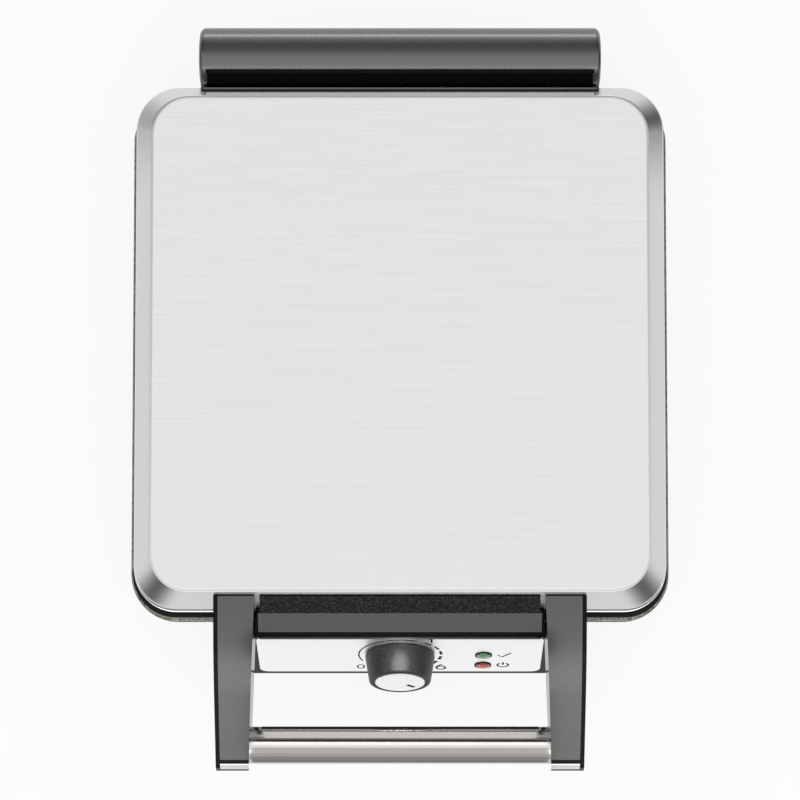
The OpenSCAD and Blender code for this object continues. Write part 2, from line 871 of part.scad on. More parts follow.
module handle_arm_right() {
    color([0.07, 0.07, 0.07]) handle_arm(1);
}

module arm_cover_left() {
    color([0.38, 0.38, 0.38]) arm_cover(-1);
}

module arm_cover_right() {
    color([0.38, 0.38, 0.38]) arm_cover(1);
}

module arm_end_cap_left() {
    color([0.85, 0.85, 0.85]) arm_end_cap(-1);
}

module arm_end_cap_right() {
    color([0.85, 0.85, 0.85]) arm_end_cap(1);
}

// Space between the arms' inner faces, which lean apart towards the lid
module between_arms() {
    front = arm_front_y;
    back = root_y;
    linear_extrude(lid_top_z) polygon([
        [-inner_x(front), front], [inner_x(front), front],
        [inner_x(back), back], [-inner_x(back), back]]);
}

module handle_bar() {
    color([0.78, 0.76, 0.74]) placed() intersection() {
        translate([0, bar_y, bar_z]) difference() {
            rod(bar_r, 2 * arm_outer_x);
            rod(bar_r - bar_wall, 2 * arm_outer_x + 2 * through);
        }
        between_arms();
    }
}

// Plugs that hold the bar's ends to the arms
module handle_bar_plugs() {
    plug_l = 14;
    start_x = inner_x(bar_y) - plug_l;
    color([0.2, 0.2, 0.2]) placed() intersection() {
        translate([0, bar_y, bar_z]) difference() {
            rod(bar_r - bar_wall - slip, 2 * arm_outer_x);
            rod(bar_r, 2 * start_x);
        }
        between_arms();
    }
}

// Textured bracket on the front bevel; its lower part reaches out to the arms
module handle_bracket() {
    top_side = concat(lid_front_edge(bracket_base_z), [
        [bracket_front_y, bracket_base_z],
        [bracket_front_y, bracket_front_z],
        [bracket_step_y, bracket_step_z],
        [bracket_step_y, bracket_rear_z]
    ]);
    low_side = concat([
        [brow_front, brow_z],
        [brow_front - flare_at(bracket_base_z), bracket_base_z],
        [bracket_front_y, bracket_base_z],
        [bracket_front_y, brow_z]
    ]);
    color([0.09, 0.09, 0.09]) placed() difference() {
        union() {
            side_extrude(bracket_top_w) polygon(top_side);
            side_extrude(2 * arm_inner_root_x) polygon(low_side);
        }
        handle_screw_spaces();
    }
}

// Smooth strip that finishes the bracket's front edge
module handle_front_trim() {
    color([0.36, 0.36, 0.36]) placed() side_extrude(bracket_top_w + 1.8) polygon([
        [bracket_step_y, bracket_step_z],
        [bracket_front_y, bracket_front_z],
        [bracket_front_y, bracket_front_z - trim_h],
        [bracket_front_y - trim_t, bracket_front_z - trim_h],
        [bracket_front_y - trim_t, bracket_front_z + trim_t],
        [bracket_step_y, bracket_step_z + trim_t]
    ]);
}

module at_handle_screws() {
    for (sx = [-1, 0, 1])
        translate([sx * handle_screw_x, brow_front + sheet_t, handle_screw_z])
            rotate([-90, 0, 0]) children();
}

module handle_screws() {
    color([0.6, 0.6, 0.6]) placed()
        at_handle_screws() translate([0, 0, head_h]) screw(screw_r, handle_screw_l, head_r, head_h);
}

module handle_screw_spaces() {
    at_handle_screws() translate([0, 0, -handle_screw_l - seat])
        cylinder(r = screw_r + seat, h = handle_screw_l + through);
}

// ---------- base ----------

module base_slab(inset, z, h) {
    slab(base_x - inset, base_front + inset, base_back - inset, base_corner_r - inset, z, h);
}

// Opening in the front walls for the thermostat
module front_window() {
    translate([-window_x, base_front - through, window_low_z])
        cube([2 * window_x, band_t + wall_t + 2 * through, window_top_z - window_low_z]);
}

module base_housing() {
    top_gap = 4;
    color([0.10, 0.10, 0.10]) placed() difference() {
        base_slab(band_t, foot_h, base_h - top_gap - foot_h);
        base_slab(band_t + wall_t, foot_h - through, base_h);
        front_window();
        translate([0, base_back, gland_z]) rotate([90, 0, 0])
            cylinder(r = gland_neck_r + seat, h = 4 * (band_t + wall_t), center = true);
        base_hinge_screw_spaces();
    }
}

module base_rim_band() {
    lip_t = 1;
    color([0.62, 0.61, 0.58]) placed() difference() {
        base_slab(0, band_low_z, base_h - band_low_z);
        base_slab(band_t, band_low_z - through, base_h - band_low_z + through - lip_t);
        plate_slab(plate_half + 1, plate_r + 1, base_h - 5, 10);
        front_window();
        base_hinge_screw_spaces();
    }
}

module at_feet() {
    for (sx = [-1, 1], y = [foot_front_y, foot_back_y]) translate([sx * foot_x, y, 0]) children();
}

module base_floor() {
    boss_r = 5;
    boss_h = 8;
    vent_count = 7;
    vent_pitch = 12;
    vent_w = 4;
    vent_l = 60;
    color([0.12, 0.12, 0.12]) placed() difference() {
        union() {
            base_slab(band_t + wall_t + 0.1, foot_h, floor_t);
            at_feet() translate([0, 0, foot_h]) cylinder(r = boss_r, h = boss_h);
        }
        at_feet() translate([0, 0, foot_h - through]) cylinder(r = screw_r + seat, h = boss_h + 2 * through);
        at_posts() translate([0, 0, foot_h]) mirror([0, 0, 1]) countersunk_space();
        for (i = [0:vent_count - 1])
            translate([(i - (vent_count - 1) / 2) * vent_pitch - vent_w / 2, base_mid_y - vent_l / 2, 0])
                cube([vent_w, vent_l, floor_z + through]);
    }
}

module base_inner_frame() {
    high = part_z - flange_back;
    color([0.20, 0.20, 0.21]) placed() difference() {
        union() {
            base_slab(band_t + wall_t + ease, high - frame_t, frame_t);
            at_posts() translate([0, 0, floor_z]) cylinder(r = post_r, h = high - floor_z);
        }
        plate_slab(frame_window, plate_r / 2, high - frame_t - through, frame_t + 2 * through);
        at_posts() translate([0, 0, foot_h]) mirror([0, 0, 1]) countersunk_space();
        at_plate_screws() translate([0, 0, part_z - plate_gap / 2]) plate_screw_space();
    }
}

module floor_screws() {
    color([0.6, 0.6, 0.6]) placed()
        at_posts() translate([0, 0, foot_h]) mirror([0, 0, 1]) countersunk();
}

module rubber_feet() {
    recess_r = head_r + 1;
    recess_h = foot_h - 2.5;
    color([0.05, 0.05, 0.05]) placed() at_feet() difference() {
        cylinder(r = foot_r, h = foot_h);
        translate([0, 0, -through]) cylinder(r = recess_r, h = recess_h + through);
        cylinder(r = screw_r + seat, h = foot_h + through);
    }
}

module foot_screws() {
    color([0.6, 0.6, 0.6]) placed() at_feet() translate([0, 0, foot_h - 2.5 - head_h])
        mirror([0, 0, 1]) screw(screw_r, 9, head_r, head_h);
}

// ---------- controls ----------

// Frame of the fascia: z out of its face, y up its slope
module on_face() {
    placed() translate([0, face_y, face_z]) rotate([90 - control_tilt, 0, 0]) children();
}

// Side view of the control box, shrunk by a wall
function control_view(inset) =
    let (slope_in = inset / cos(control_tilt), high = control_top_z - inset, low = foot_h + inset)
    [
        [base_front + (inset > 0 ? through : 0), high],
        [control_front_y + slope_in - (control_top_z - high) * tan(control_tilt), high],
        [control_front_y + slope_in - (control_top_z - low) * tan(control_tilt), low],
        [base_front + (inset > 0 ? through : 0), low]
    ];

module control_housing() {
    color([0.08, 0.08, 0.08]) difference() {
        placed() side_extrude(control_w) polygon(control_view(0));
        placed() side_extrude(control_w - 2 * control_wall) polygon(control_view(control_wall));
        on_face() translate([0, 0, -fascia_t]) linear_extrude(fascia_t + through)
            rounded_area(fascia_w + 0.2, fascia_h + 0.2, 5.1);
        on_face() face_holes();
    }
}

// Holes through the fascia and the wall behind it
module face_holes() {
    translate([0, 0, -2 * control_wall]) {
        cylinder(r = bush_r + seat, h = 4 * control_wall);
        at_lamps() cylinder(r = lens_r + seat, h = 4 * control_wall);
    }
}

module control_fascia() {
    color([0.92, 0.92, 0.92]) on_face() difference() {
        translate([0, 0, -fascia_t]) linear_extrude(fascia_t) rounded_area(fascia_w, fascia_h, 5);
        face_holes();
    }
}

module at_lamps() {
    for (i = [0, 1]) at_lamp(i) children();
}

module at_lamp(index) {
    translate([lamp_x, lamp_low + index * lamp_pitch, 0]) children();
}

module lamp_bezels() {
    color([0.05, 0.05, 0.05]) on_face() at_lamps() difference() {
        cylinder(r = lens_r + bezel_w, h = 1.2);
        translate([0, 0, -through]) cylinder(r = lens_r + slip, h = 5);
    }
}

// Short round lens with a domed front
module lens() {
    dome_r = lens_r * 1.5;
    sink = sqrt(dome_r * dome_r - lens_r * lens_r);
    translate([0, 0, -control_wall]) cylinder(r = lens_r, h = control_wall + 1.2);
    translate([0, 0, 1.2 - sink]) intersection() {
        sphere(dome_r);
        translate([0, 0, sink - 0.1]) cylinder(r = lens_r, h = dome_r);
    }
}

module ready_lamp_lens() {
    color([0.30, 0.60, 0.42]) on_face() at_lamp(1) lens();
}

module power_lamp_lens() {
    color([0.65, 0.25, 0.22]) on_face() at_lamp(0) lens();
}

module lamp_board() {
    gap = 4;
    board_t = 1.6;
    board = [20, lamp_pitch + 10];
    middle = lamp_low + lamp_pitch / 2;
    color([0.15, 0.40, 0.22]) on_face() {
        translate([lamp_x - board[0] / 2, middle - board[1] / 2, -control_wall - gap - board_t])
            cube([board[0], board[1], board_t]);
        at_lamps() translate([0, 0, -control_wall - gap - 0.1]) cylinder(r = 2.5, h = gap - 0.2);
        for (sx = [-1, 1]) translate([lamp_x + sx * 8, middle, -control_wall - gap - 0.1])
            cylinder(r = 1.5, h = gap + 0.1);
    }
}

module thermostat_body() {
    back = -control_wall - bracket_plate_t;
    color([0.85, 0.83, 0.76]) on_face() difference() {
        union() {
            translate([0, 0, back - thermostat_size[2] / 2]) cube(thermostat_size, center = true);
            translate([0, 0, back]) cylinder(r = bush_r, h = -back + 0.6);
        }
        translate([0, 0, back - thermostat_size[2] + 3])
            cylinder(r = spindle_r + slip, h = thermostat_size[2] - back);
    }
}

module thermostat_bracket() {
    color([0.6, 0.6, 0.62]) on_face() difference() {
        translate([0, 0, -control_wall - bracket_plate_t / 2])
            cube([thermostat_size[0] + 12, thermostat_size[1] - 4, bracket_plate_t], center = true);
        translate([0, 0, -control_wall * 2]) cylinder(r = bush_r + slip, h = control_wall * 2);
    }
}

module thermostat_spindle() {
    back = -control_wall - bracket_plate_t - thermostat_size[2] + 3 + ease;
    color([0.75, 0.75, 0.76]) on_face()
        translate([0, 0, back]) cylinder(r = spindle_r, h = knob_gap + knob_l - 3 - back);
}

module knob_body() {
    color([0.10, 0.10, 0.10]) on_face() translate([0, 0, knob_gap]) difference() {
        cylinder(r1 = knob_foot_r, r2 = knob_front_r, h = knob_l);
        translate([0, 0, knob_l - knob_recess])
            cylinder(r = knob_cap_r + slip, h = knob_recess + through);
        translate([0, 0, -through]) cylinder(r = spindle_r + 0.8, h = through + 4);
        translate([0, 0, -through]) cylinder(r = spindle_r + 0.02, h = knob_l - 3 + through);
    }
}

module knob_cap() {
    pointer_l = knob_cap_r * 0.46;
    color([0.88, 0.88, 0.88]) on_face()
        translate([0, 0, knob_gap + knob_l - knob_recess]) difference() {
            cylinder(r = knob_cap_r, h = knob_cap_t);
            rotate(-42) translate([knob_cap_r * 0.4, -0.45, knob_cap_t - 0.3])
                cube([pointer_l, 0.9, 1]);
        }
}

module knob_spring_clip() {
    color([0.6, 0.6, 0.6]) on_face() translate([0, 0, knob_gap + 0.5]) difference() {
        cylinder(r = spindle_r + 0.75, h = 3);
        translate([0, 0, -through]) cylinder(r = spindle_r + 0.02, h = 3 + 2 * through);
        translate([0, -0.5, -through]) cube([10, 1, 3 + 2 * through]);
    }
}

// ---------- electrics in the base ----------

module thermal_fuse() {
    fuse_r = 3;
    color([0.85, 0.85, 0.80]) placed()
        translate([40, plate_y, part_z - tray_depth - fuse_r]) rod(fuse_r, 22);
}

module terminal_block() {
    block = [30, 16, 14];
    color([0.80, 0.78, 0.70]) placed()
        translate([-block[0] / 2, base_back - terminal_inset, floor_z]) cube(block);
}

// Two leads along the floor from the terminal block, and up behind the thermostat
module internal_wires() {
    wire_r = 1.4;
    wire_x = 8;
    front_inset = 14;
    top_drop = 12;
    start_y = base_back - terminal_inset;
    end_y = base_front + front_inset;
    rise_z = face_z - top_drop;
    color([0.65, 0.12, 0.10]) placed() for (sx = [-1, 1])
        translate([sx * wire_x, 0, floor_z + wire_r]) {
            translate([0, end_y, 0]) rotate([-90, 0, 0]) cylinder(r = wire_r, h = start_y - end_y);
            translate([0, end_y, 0]) sphere(wire_r);
            translate([0, end_y, 0]) cylinder(r = wire_r, h = rise_z - floor_z - wire_r);
        }
}

module cord_gland() {
    wall_out = base_back - band_t;
    wall_in = wall_out - wall_t;
    color([0.06, 0.06, 0.06]) placed() difference() {
        translate([0, 0, gland_z]) rotate([-90, 0, 0]) {
            translate([0, 0, wall_out]) cylinder(r = gland_flange_r, h = gland_flange_t);
            translate([0, 0, wall_in]) cylinder(r = gland_neck_r, h = wall_t);
            translate([0, 0, wall_in - gland_flange_t]) cylinder(r = gland_flange_r, h = gland_flange_t);
        }
        translate([0, 0, gland_z]) rotate([-90, 0, 0])
            translate([0, 0, wall_in - gland_flange_t - through])
                cylinder(r = cord_hole_r, h = wall_t + 2 * (gland_flange_t + through));
    }
}

lid_shell();
lid_top_panel();
lid_inner_frame();
lid_frame_screws();
upper_waffle_plate();
upper_plate_screws();
upper_heating_element();
upper_heat_reflector();
hinge_cover();
hinge_cover_strip();
hinge_end_cap_left();
hinge_end_cap_right();
lid_hinge_brackets();
lid_hinge_screws();
hinge_shaft();
handle_bracket();
handle_front_trim();
handle_screws();
handle_arm_left();
handle_arm_right();
arm_cover_left();
arm_cover_right();
arm_end_cap_left();
arm_end_cap_right();
handle_bar();
handle_bar_plugs();
base_housing();
base_rim_band();
base_floor();
base_inner_frame();
floor_screws();
lower_waffle_plate();
lower_plate_screws();
lower_heating_element();
lower_heat_reflector();
rubber_feet();
foot_screws();
control_housing();
control_fascia();
lamp_bezels();
ready_lamp_lens();
power_lamp_lens();
lamp_board();
thermostat_body();
thermostat_bracket();
thermal_fuse();
terminal_block();
internal_wires();
cord_gland();
base_hinge_brackets();
base_hinge_screws();
hinge_bushes();
knob_body();
knob_cap();
thermostat_spindle();
knob_spring_clip();
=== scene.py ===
"""Looks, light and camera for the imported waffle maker.

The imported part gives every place. Each class below is one sub-assembly: its fields are the sizes that the
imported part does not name, and its methods draw the pieces and lay the finishes on. Sizes are in millimetres
unless a comment says otherwise; lamps are placed in metres.
"""

import json
import logging
import math
from collections.abc import Iterable, Sequence
from dataclasses import dataclass
from enum import Enum
from functools import cached_property
from typing import ClassVar

import bmesh
import bpy
from mathutils import Matrix, Vector


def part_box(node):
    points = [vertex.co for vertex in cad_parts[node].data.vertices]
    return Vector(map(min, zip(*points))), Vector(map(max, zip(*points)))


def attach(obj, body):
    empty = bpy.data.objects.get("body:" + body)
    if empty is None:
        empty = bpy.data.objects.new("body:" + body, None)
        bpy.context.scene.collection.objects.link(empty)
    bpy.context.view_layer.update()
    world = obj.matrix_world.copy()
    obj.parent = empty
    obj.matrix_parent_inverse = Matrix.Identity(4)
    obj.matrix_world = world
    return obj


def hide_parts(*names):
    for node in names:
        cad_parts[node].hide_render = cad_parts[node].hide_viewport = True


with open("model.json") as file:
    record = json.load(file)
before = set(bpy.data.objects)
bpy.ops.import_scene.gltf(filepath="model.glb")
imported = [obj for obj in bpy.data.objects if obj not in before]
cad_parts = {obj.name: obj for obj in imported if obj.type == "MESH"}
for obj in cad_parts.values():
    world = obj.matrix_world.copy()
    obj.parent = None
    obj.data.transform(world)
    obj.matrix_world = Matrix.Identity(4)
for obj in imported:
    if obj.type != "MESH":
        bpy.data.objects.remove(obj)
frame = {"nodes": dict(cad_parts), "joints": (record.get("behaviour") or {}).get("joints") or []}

MM = 0.001
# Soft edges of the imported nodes: steps across the rounding, and the angle from which an edge gets one.
EDGE_STEPS = 3
EDGE_ABOVE_DEG = 35.0
LOG = logging.getLogger("waffle_maker")
Colour = tuple[float, float, float]
Pair = tuple[float, float]
Place = tuple[float, float, float]


# ---------- finishes ----------


class NodeTree:
    """The node tree of a material or of the world, with short calls that add and join nodes."""

    def __init__(self, owner: bpy.types.ID, output: str) -> None:
        """Clears the owner's tree and puts an output in it.

        Args:
            owner: Material or world that the tree belongs to.
            output: Blender's name of its output node.
        """
        owner.use_nodes = True
        self.tree = owner.node_tree
        self.tree.nodes.clear()
        self.output = self.add(output)
        self.place = self.add("ShaderNodeTexCoord")

    def add(self, kind: str, **settings: object) -> bpy.types.Node:
        """Adds a node.

        Args:
            kind: Blender's name of the node type.
            **settings: Attributes to set on the node.

        Returns:
            The new node.
        """
        node = self.tree.nodes.new(kind)
        for key, value in settings.items():
            setattr(node, key, value)
        return node

    def join(self, source: bpy.types.Node, output: str | int, target: bpy.types.Node,
             socket: str | int) -> None:
        """Joins one node's output to another node's socket, each given by its name or index."""
        self.tree.links.new(source.outputs[output], target.inputs[socket])

    def noise(self, scale: Place, detail: float = 3.0, rough: float = 0.6) -> bpy.types.Node:
        """Adds a noise that lies in the part's own frame.

        Args:
            scale: Cycles per metre along x, y and z.
            detail: Octaves of the noise.
            rough: Strength of the finer octaves.

        Returns:
            The noise node.
        """
        mapping = self.add("ShaderNodeMapping")
        mapping.inputs["Scale"].default_value = scale
        self.join(self.place, "Object", mapping, "Vector")
        texture = self.add("ShaderNodeTexNoise")
        texture.inputs["Scale"].default_value = 1.0
        texture.inputs["Detail"].default_value = detail
        texture.inputs["Roughness"].default_value = rough
        self.join(mapping, "Vector", texture, "Vector")
        return texture

    def split(self, coordinates: str) -> bpy.types.Node:
        """Adds a node that gives x, y and z apart.

        Args:
            coordinates: Blender's name of the kind of coordinates.

        Returns:
            The new node, whose outputs are called X, Y and Z.
        """
        node = self.add("ShaderNodeSeparateXYZ")
        self.join(self.place, coordinates, node, "Vector")
        return node

    def span(self, source: bpy.types.Node, output: str | int, before: Pair, after: Pair) -> bpy.types.Node:
        """Adds a node that moves a value from one range to another.

        Args:
            source: Node that gives the value.
            output: Name or index of its output.
            before: Range that the value comes in.
            after: Range that it leaves in.

        Returns:
            The new node, whose output is called Result.
        """
        node = self.add("ShaderNodeMapRange")
        for name, value in zip(("From Min", "From Max", "To Min", "To Max"), (*before, *after)):
            node.inputs[name].default_value = value
        self.join(source, output, node, "Value")
        return node

    def ramp(self, source: bpy.types.Node, output: str | int, stops: Sequence[tuple[float, Colour]],
             interpolation: str = "LINEAR") -> bpy.types.Node:
        """Adds a node that turns a value into a colour.

        Args:
            source: Node that gives the value.
            output: Name or index of its output.
            stops: Places along the ramp, lowest first, with their colours.
            interpolation: Blender's name of the way from one stop to the next.

        Returns:
            The new node, whose output is called Color.
        """
        node = self.add("ShaderNodeValToRGB")
        node.color_ramp.interpolation = interpolation
        elements = node.color_ramp.elements
        while len(elements) < len(stops):
            elements.new(1.0)
        for element, (place, colour) in zip(elements, stops):
            element.position = place
            element.color = (*colour, 1.0)
        self.join(source, output, node, "Fac")
        return node

    def glow(self, kind: str, colour: Colour, level: float = 1.0) -> bpy.types.Node:
        """Adds an even glow.

        Args:
            kind: Blender's name of the glowing node.
            colour: Its colour.
            level: Its strength.

        Returns:
            The new node.
        """
        node = self.add(kind)
        node.inputs["Color"].default_value = (*colour, 1.0)
        node.inputs["Strength"].default_value = level
        return node

    def either(self, share: bpy.types.Node, output: str | int, first: bpy.types.Node,
               second: bpy.types.Node) -> bpy.types.Node:
        """Adds a node that mixes two shaders.

        Args:
            share: Node that gives the share of the second shader.
            output: Name or index of its output.
            first: Node of the first shader.
            second: Node of the second shader.

        Returns:
            The new node.
        """
        node = self.add("ShaderNodeMixShader")
        self.join(share, output, node, 0)
        self.join(first, 0, node, 1)
        self.join(second, 0, node, 2)
        return node


class MaterialSheet(NodeTree):
    """The node tree of one material, with its shader."""

    # A Mix node has one set of sockets for each kind of value; these are the ones for colours.
    MIX_FIRST, MIX_SECOND, MIX_RESULT = 6, 7, 2
    # The middle part of a noise, in which nearly all its values lie.
    NOISE_SPAN: Pair = (0.3, 0.7)

    def __init__(self, name: str) -> None:
        """Starts a material whose tree holds a shader and an output.

        Args:
            name: Name of the material.
        """
        self.material = bpy.data.materials.new(name)
        super().__init__(self.material, "ShaderNodeOutputMaterial")
        self.shader = self.add("ShaderNodeBsdfPrincipled")
        self.join(self.shader, "BSDF", self.output, "Surface")

    def set(self, **values: object) -> None:
        """Sets plain values on the shader's own sockets, whose spaces are written as underscores."""
        for key, value in values.items():
            self.shader.inputs[key.replace("_", " ")].default_value = value

    def tint(self, factor: bpy.types.Node, low: Colour, high: Colour,
             span: Pair = NOISE_SPAN) -> bpy.types.Node:
        """Colours the shader between two colours.

        Args:
            factor: Node whose first output runs from low to high.
            low: Colour where it is low.
            high: Colour where it is high.
            span: The values of the factor that give the two colours.

        Returns:
            The node that gives the colour.
        """
        ramp = self.ramp(factor, 0, list(zip(span, (low, high))))
        self.join(ramp, "Color", self.shader, "Base Color")
        return ramp

    def darken(self, colour: bpy.types.Node, tone: bpy.types.Node) -> None:
        """Multiplies the shader's colour by a tone.

        Args:
            colour: Node that gives the colour.
            tone: Node that gives the factor.
        """
        mixed = self.add("ShaderNodeMix", data_type="RGBA", blend_type="MULTIPLY")
        mixed.inputs["Factor"].default_value = 1.0
        self.join(colour, "Color", mixed, self.MIX_FIRST)
        self.join(tone, "Result", mixed, self.MIX_SECOND)
        self.join(mixed, self.MIX_RESULT, self.shader, "Base Color")

    def vary(self, factor: bpy.types.Node, socket: str, low: float, high: float) -> None:
        """Lets one of the shader's values run from low to high with a node's first output."""
        self.join(self.span(factor, 0, self.NOISE_SPAN, (low, high)), "Result", self.shader, socket)

    def relief(self, height: bpy.types.Node, depth_mm: float, strength: float = 1.0) -> None:
        """Raises the surface by a texture, without changing its shape.

        Args:
            height: Node whose first output is the height.
            depth_mm: Depth of the relief.
            strength: Share of the relief that shows.
        """
        bump = self.add("ShaderNodeBump")
        bump.inputs["Strength"].default_value = strength
        bump.inputs["Distance"].default_value = depth_mm * MM
        self.join(height, 0, bump, "Height")
        self.join(bump, "Normal", self.shader, "Normal")


def shade(colour: Colour, by: float) -> Colour:
    """Makes a linear colour lighter or darker by a factor, kept within 0 and 1."""
    return tuple(min(max(channel * by, 0.0), 1.0) for channel in colour)


def grey(level: float) -> Colour:
    """A linear grey."""
    return (level, level, level)


@dataclass(frozen=True)
class Finish:
    """What every finish has: a slot, a colour and a roughness.

    On the object, the slot is the record's material slot. In the studio it is only a name.
    """

    slot: str
    colour: Colour
    roughness: float

    @cached_property
    def material(self) -> bpy.types.Material:
        """The Blender material of this finish, made once.

        Returns:
            The material.
        """
        sheet = MaterialSheet(f"finish_{self.slot}")
        sheet.set(Roughness=self.roughness)
        self.paint(sheet)
        return sheet.material

    def paint(self, sheet: MaterialSheet) -> None:
        """Adds the nodes that make this finish to its tree."""
        raise NotImplementedError


class Brushing(Enum):
    """Direction in which a metal was brushed, as noise cycles per metre along x, y and z."""

    ACROSS = (22.0, 2100.0, 2100.0)
    FINE_ACROSS = (60.0, 4200.0, 4200.0)
    LENGTHWISE = (2100.0, 22.0, 2100.0)
    AROUND = (24.0, 24.0, 2300.0)
    SPECKLED = (500.0, 500.0, 300.0)
    NONE = (160.0, 160.0, 160.0)


@dataclass(frozen=True)
class Steel(Finish):
    """Metal with brushing streaks in its colour, gloss and height.

    Its front tone is a painted shade: the colour darkens along reach, which is a stretch along y in metres,
    to this tone at its front end.
    """

    brushing: Brushing = Brushing.NONE
    contrast: float = 0.05
    relief_mm: float = 0.0
    front_shade_tone: float = 1.0
    reach: Pair = (-0.1, 0.155)

    # The gloss changes by three times the contrast of the colour, but never by more than 15 per cent.
    GLOSS_SHARE: ClassVar[float] = 3.0
    MOST_GLOSS: ClassVar[float] = 0.15

    def paint(self, sheet: MaterialSheet) -> None:
        """Adds the streaks to the colour, the gloss and the height.

        Args:
            sheet: Tree to add them to.
        """
        streaks = sheet.noise(self.brushing.value, detail=5.0, rough=0.7)
        self.tone(sheet, streaks)
        spread = min(self.GLOSS_SHARE * self.contrast, self.MOST_GLOSS)
        sheet.vary(streaks, "Roughness", self.roughness * (1 - spread), self.roughness * (1 + spread))
        sheet.set(Metallic=1.0)
        if self.relief_mm:
            sheet.relief(streaks, self.relief_mm)

    def tone(self, sheet: MaterialSheet, streaks: bpy.types.Node) -> None:
        """Colours the metal by its streaks, and darkens it towards the front as painted shade where the
        finish asks for it.

        Args:
            sheet: Tree to add the nodes to.
            streaks: Noise of the streaks.
        """
        dark, light = shade(self.colour, 1 - self.contrast), shade(self.colour, 1 + self.contrast)
        ramp = sheet.tint(streaks, dark, light)
        if self.front_shade_tone < 1:
            # painted shade: the colour falls from full to the front tone along reach
            sheet.darken(ramp, sheet.span(sheet.split("Object"), "Y", self.reach, (self.front_shade_tone, 1.0)))


@dataclass(frozen=True)
class Lipped(Steel):
    """Bright metal whose front lip is painted black as shade, as on the caps at the handle's front ends.

    lip_y is the stretch of the lip along y, in metres.
    """

    lip_y: Pair = (-0.1990, -0.1970)
    lip_shade_colour: Colour = (0.004, 0.004, 0.004)
    lip_edge: Pair = (0.45, 0.75)

    def tone(self, sheet: MaterialSheet, streaks: bpy.types.Node) -> None:
        """Paints the lip black as shade and keeps the metal bright behind it; its streaks show in the gloss
        alone.
        """
        rise = sheet.span(sheet.split("Object"), "Y", self.lip_y, (0.0, 1.0))
        sheet.tint(rise, self.lip_shade_colour, self.colour, self.lip_edge)


@dataclass(frozen=True)
class Moulded(Finish):
    """Moulded or coated plastic: a fine grain over a dark, lightly uneven colour."""

    grain: float = 900.0
    relief_mm: float = 0.02
    ior: float = 1.5
    contrast: float = 0.08
    specks: float = 0.0
    specular: float = 0.5

    # The stretch of the grain's noise over which the specks come up, and the change of gloss.
    SPECK_SPAN: ClassVar[Pair] = (0.42, 0.72)
    GLOSS_SPREAD: ClassVar[Pair] = (0.9, 1.1)

    def paint(self, sheet: MaterialSheet) -> None:
        """Adds the grain, and bright specks where the finish has them.

        Args:
            sheet: Tree to add them to.
        """
        grain = sheet.noise((self.grain,) * 3, detail=2.0)
        low, high = 1 - self.contrast, 1 + self.contrast + self.specks
        sheet.tint(grain, shade(self.colour, low), shade(self.colour, high), self.SPECK_SPAN)
        smooth, rough = self.GLOSS_SPREAD
        sheet.vary(grain, "Roughness", self.roughness * smooth, min(self.roughness * rough, 1.0))
        sheet.set(IOR=self.ior, Specular_IOR_Level=self.specular)
        if self.relief_mm:
            sheet.relief(grain, self.relief_mm)


@dataclass(frozen=True)
class Lens(Finish):
    """Tinted clear plastic of an indicator lamp, with pressed facets inside."""

    facet: float = 700.0
    tones: Pair = (0.7, 1.6)

    def paint(self, sheet: MaterialSheet) -> None:
        """Adds the facets as a faint relief and a change of tone.

        Args:
            sheet: Tree to add them to.
        """
        cells = sheet.noise((self.facet,) * 3, detail=0.0)
        sheet.tint(cells, *(shade(self.colour, tone) for tone in self.tones))
        sheet.relief(cells, depth_mm=0.08, strength=0.5)
        sheet.set(IOR=1.49, Coat_Weight=0.6, Coat_Roughness=0.05, Subsurface_Weight=0.15)


# Sheet metal
# The top sheet's colour darkens towards the front: painted shade.
PANEL = Steel("brushed_panel", grey(0.905), 0.55, Brushing.ACROSS, contrast=0.06, relief_mm=0.014,
              front_shade_tone=0.86)
SHELL = Steel("satin_steel", (0.66, 0.66, 0.655), 0.24, contrast=0.01)
# A darker copy of the lid's satin steel: painted shade along the flat ledge round the top sheet.
SHADED_LEDGE = Steel("satin_steel", (0.56, 0.56, 0.575), 0.35, contrast=0.02)
RIM = Steel("rim_steel", (0.19, 0.182, 0.16), 0.36, Brushing.SPECKLED, contrast=0.85, relief_mm=0.02)
BAND = Steel("rim_steel", (0.50, 0.50, 0.49), 0.32, Brushing.AROUND, contrast=0.10, relief_mm=0.006)
FASCIA = Steel("fascia_steel", grey(0.975), 0.42, Brushing.FINE_ACROSS, contrast=0.02, relief_mm=0.002)
REFLECTOR = Steel("reflector_steel", (0.75, 0.75, 0.76), 0.28, Brushing.LENGTHWISE, contrast=0.06,
                  relief_mm=0.004)

# Bars, caps, fasteners and bushes
BAR = Steel("bar_steel", (0.56, 0.545, 0.525), 0.10, contrast=0.02)
# The end caps' front lip is painted black: painted shade.
CHROME = Lipped("bright_chrome", grey(0.86), 0.16, contrast=0.01)
ELEMENT = Steel("element_steel", (0.24, 0.21, 0.19), 0.40, contrast=0.35)
ZINC = Steel("zinc_steel", (0.56, 0.57, 0.60), 0.30, contrast=0.12)
SHAFT = Steel("shaft_steel", (0.62, 0.62, 0.64), 0.16, contrast=0.04)
BRONZE = Steel("bush_bronze", (0.62, 0.45, 0.22), 0.35, contrast=0.15)

# Dark plastic of the hinge cover and the handle
GRAPHITE = Moulded("graphite_plastic", (0.026, 0.026, 0.027), 0.26, grain=2600.0, relief_mm=0.0015, ior=2.0,
                   contrast=0.05)
SMOKE = Moulded("graphite_plastic", grey(0.016), 0.28, grain=2600.0, relief_mm=0.002, ior=1.86, contrast=0.05)

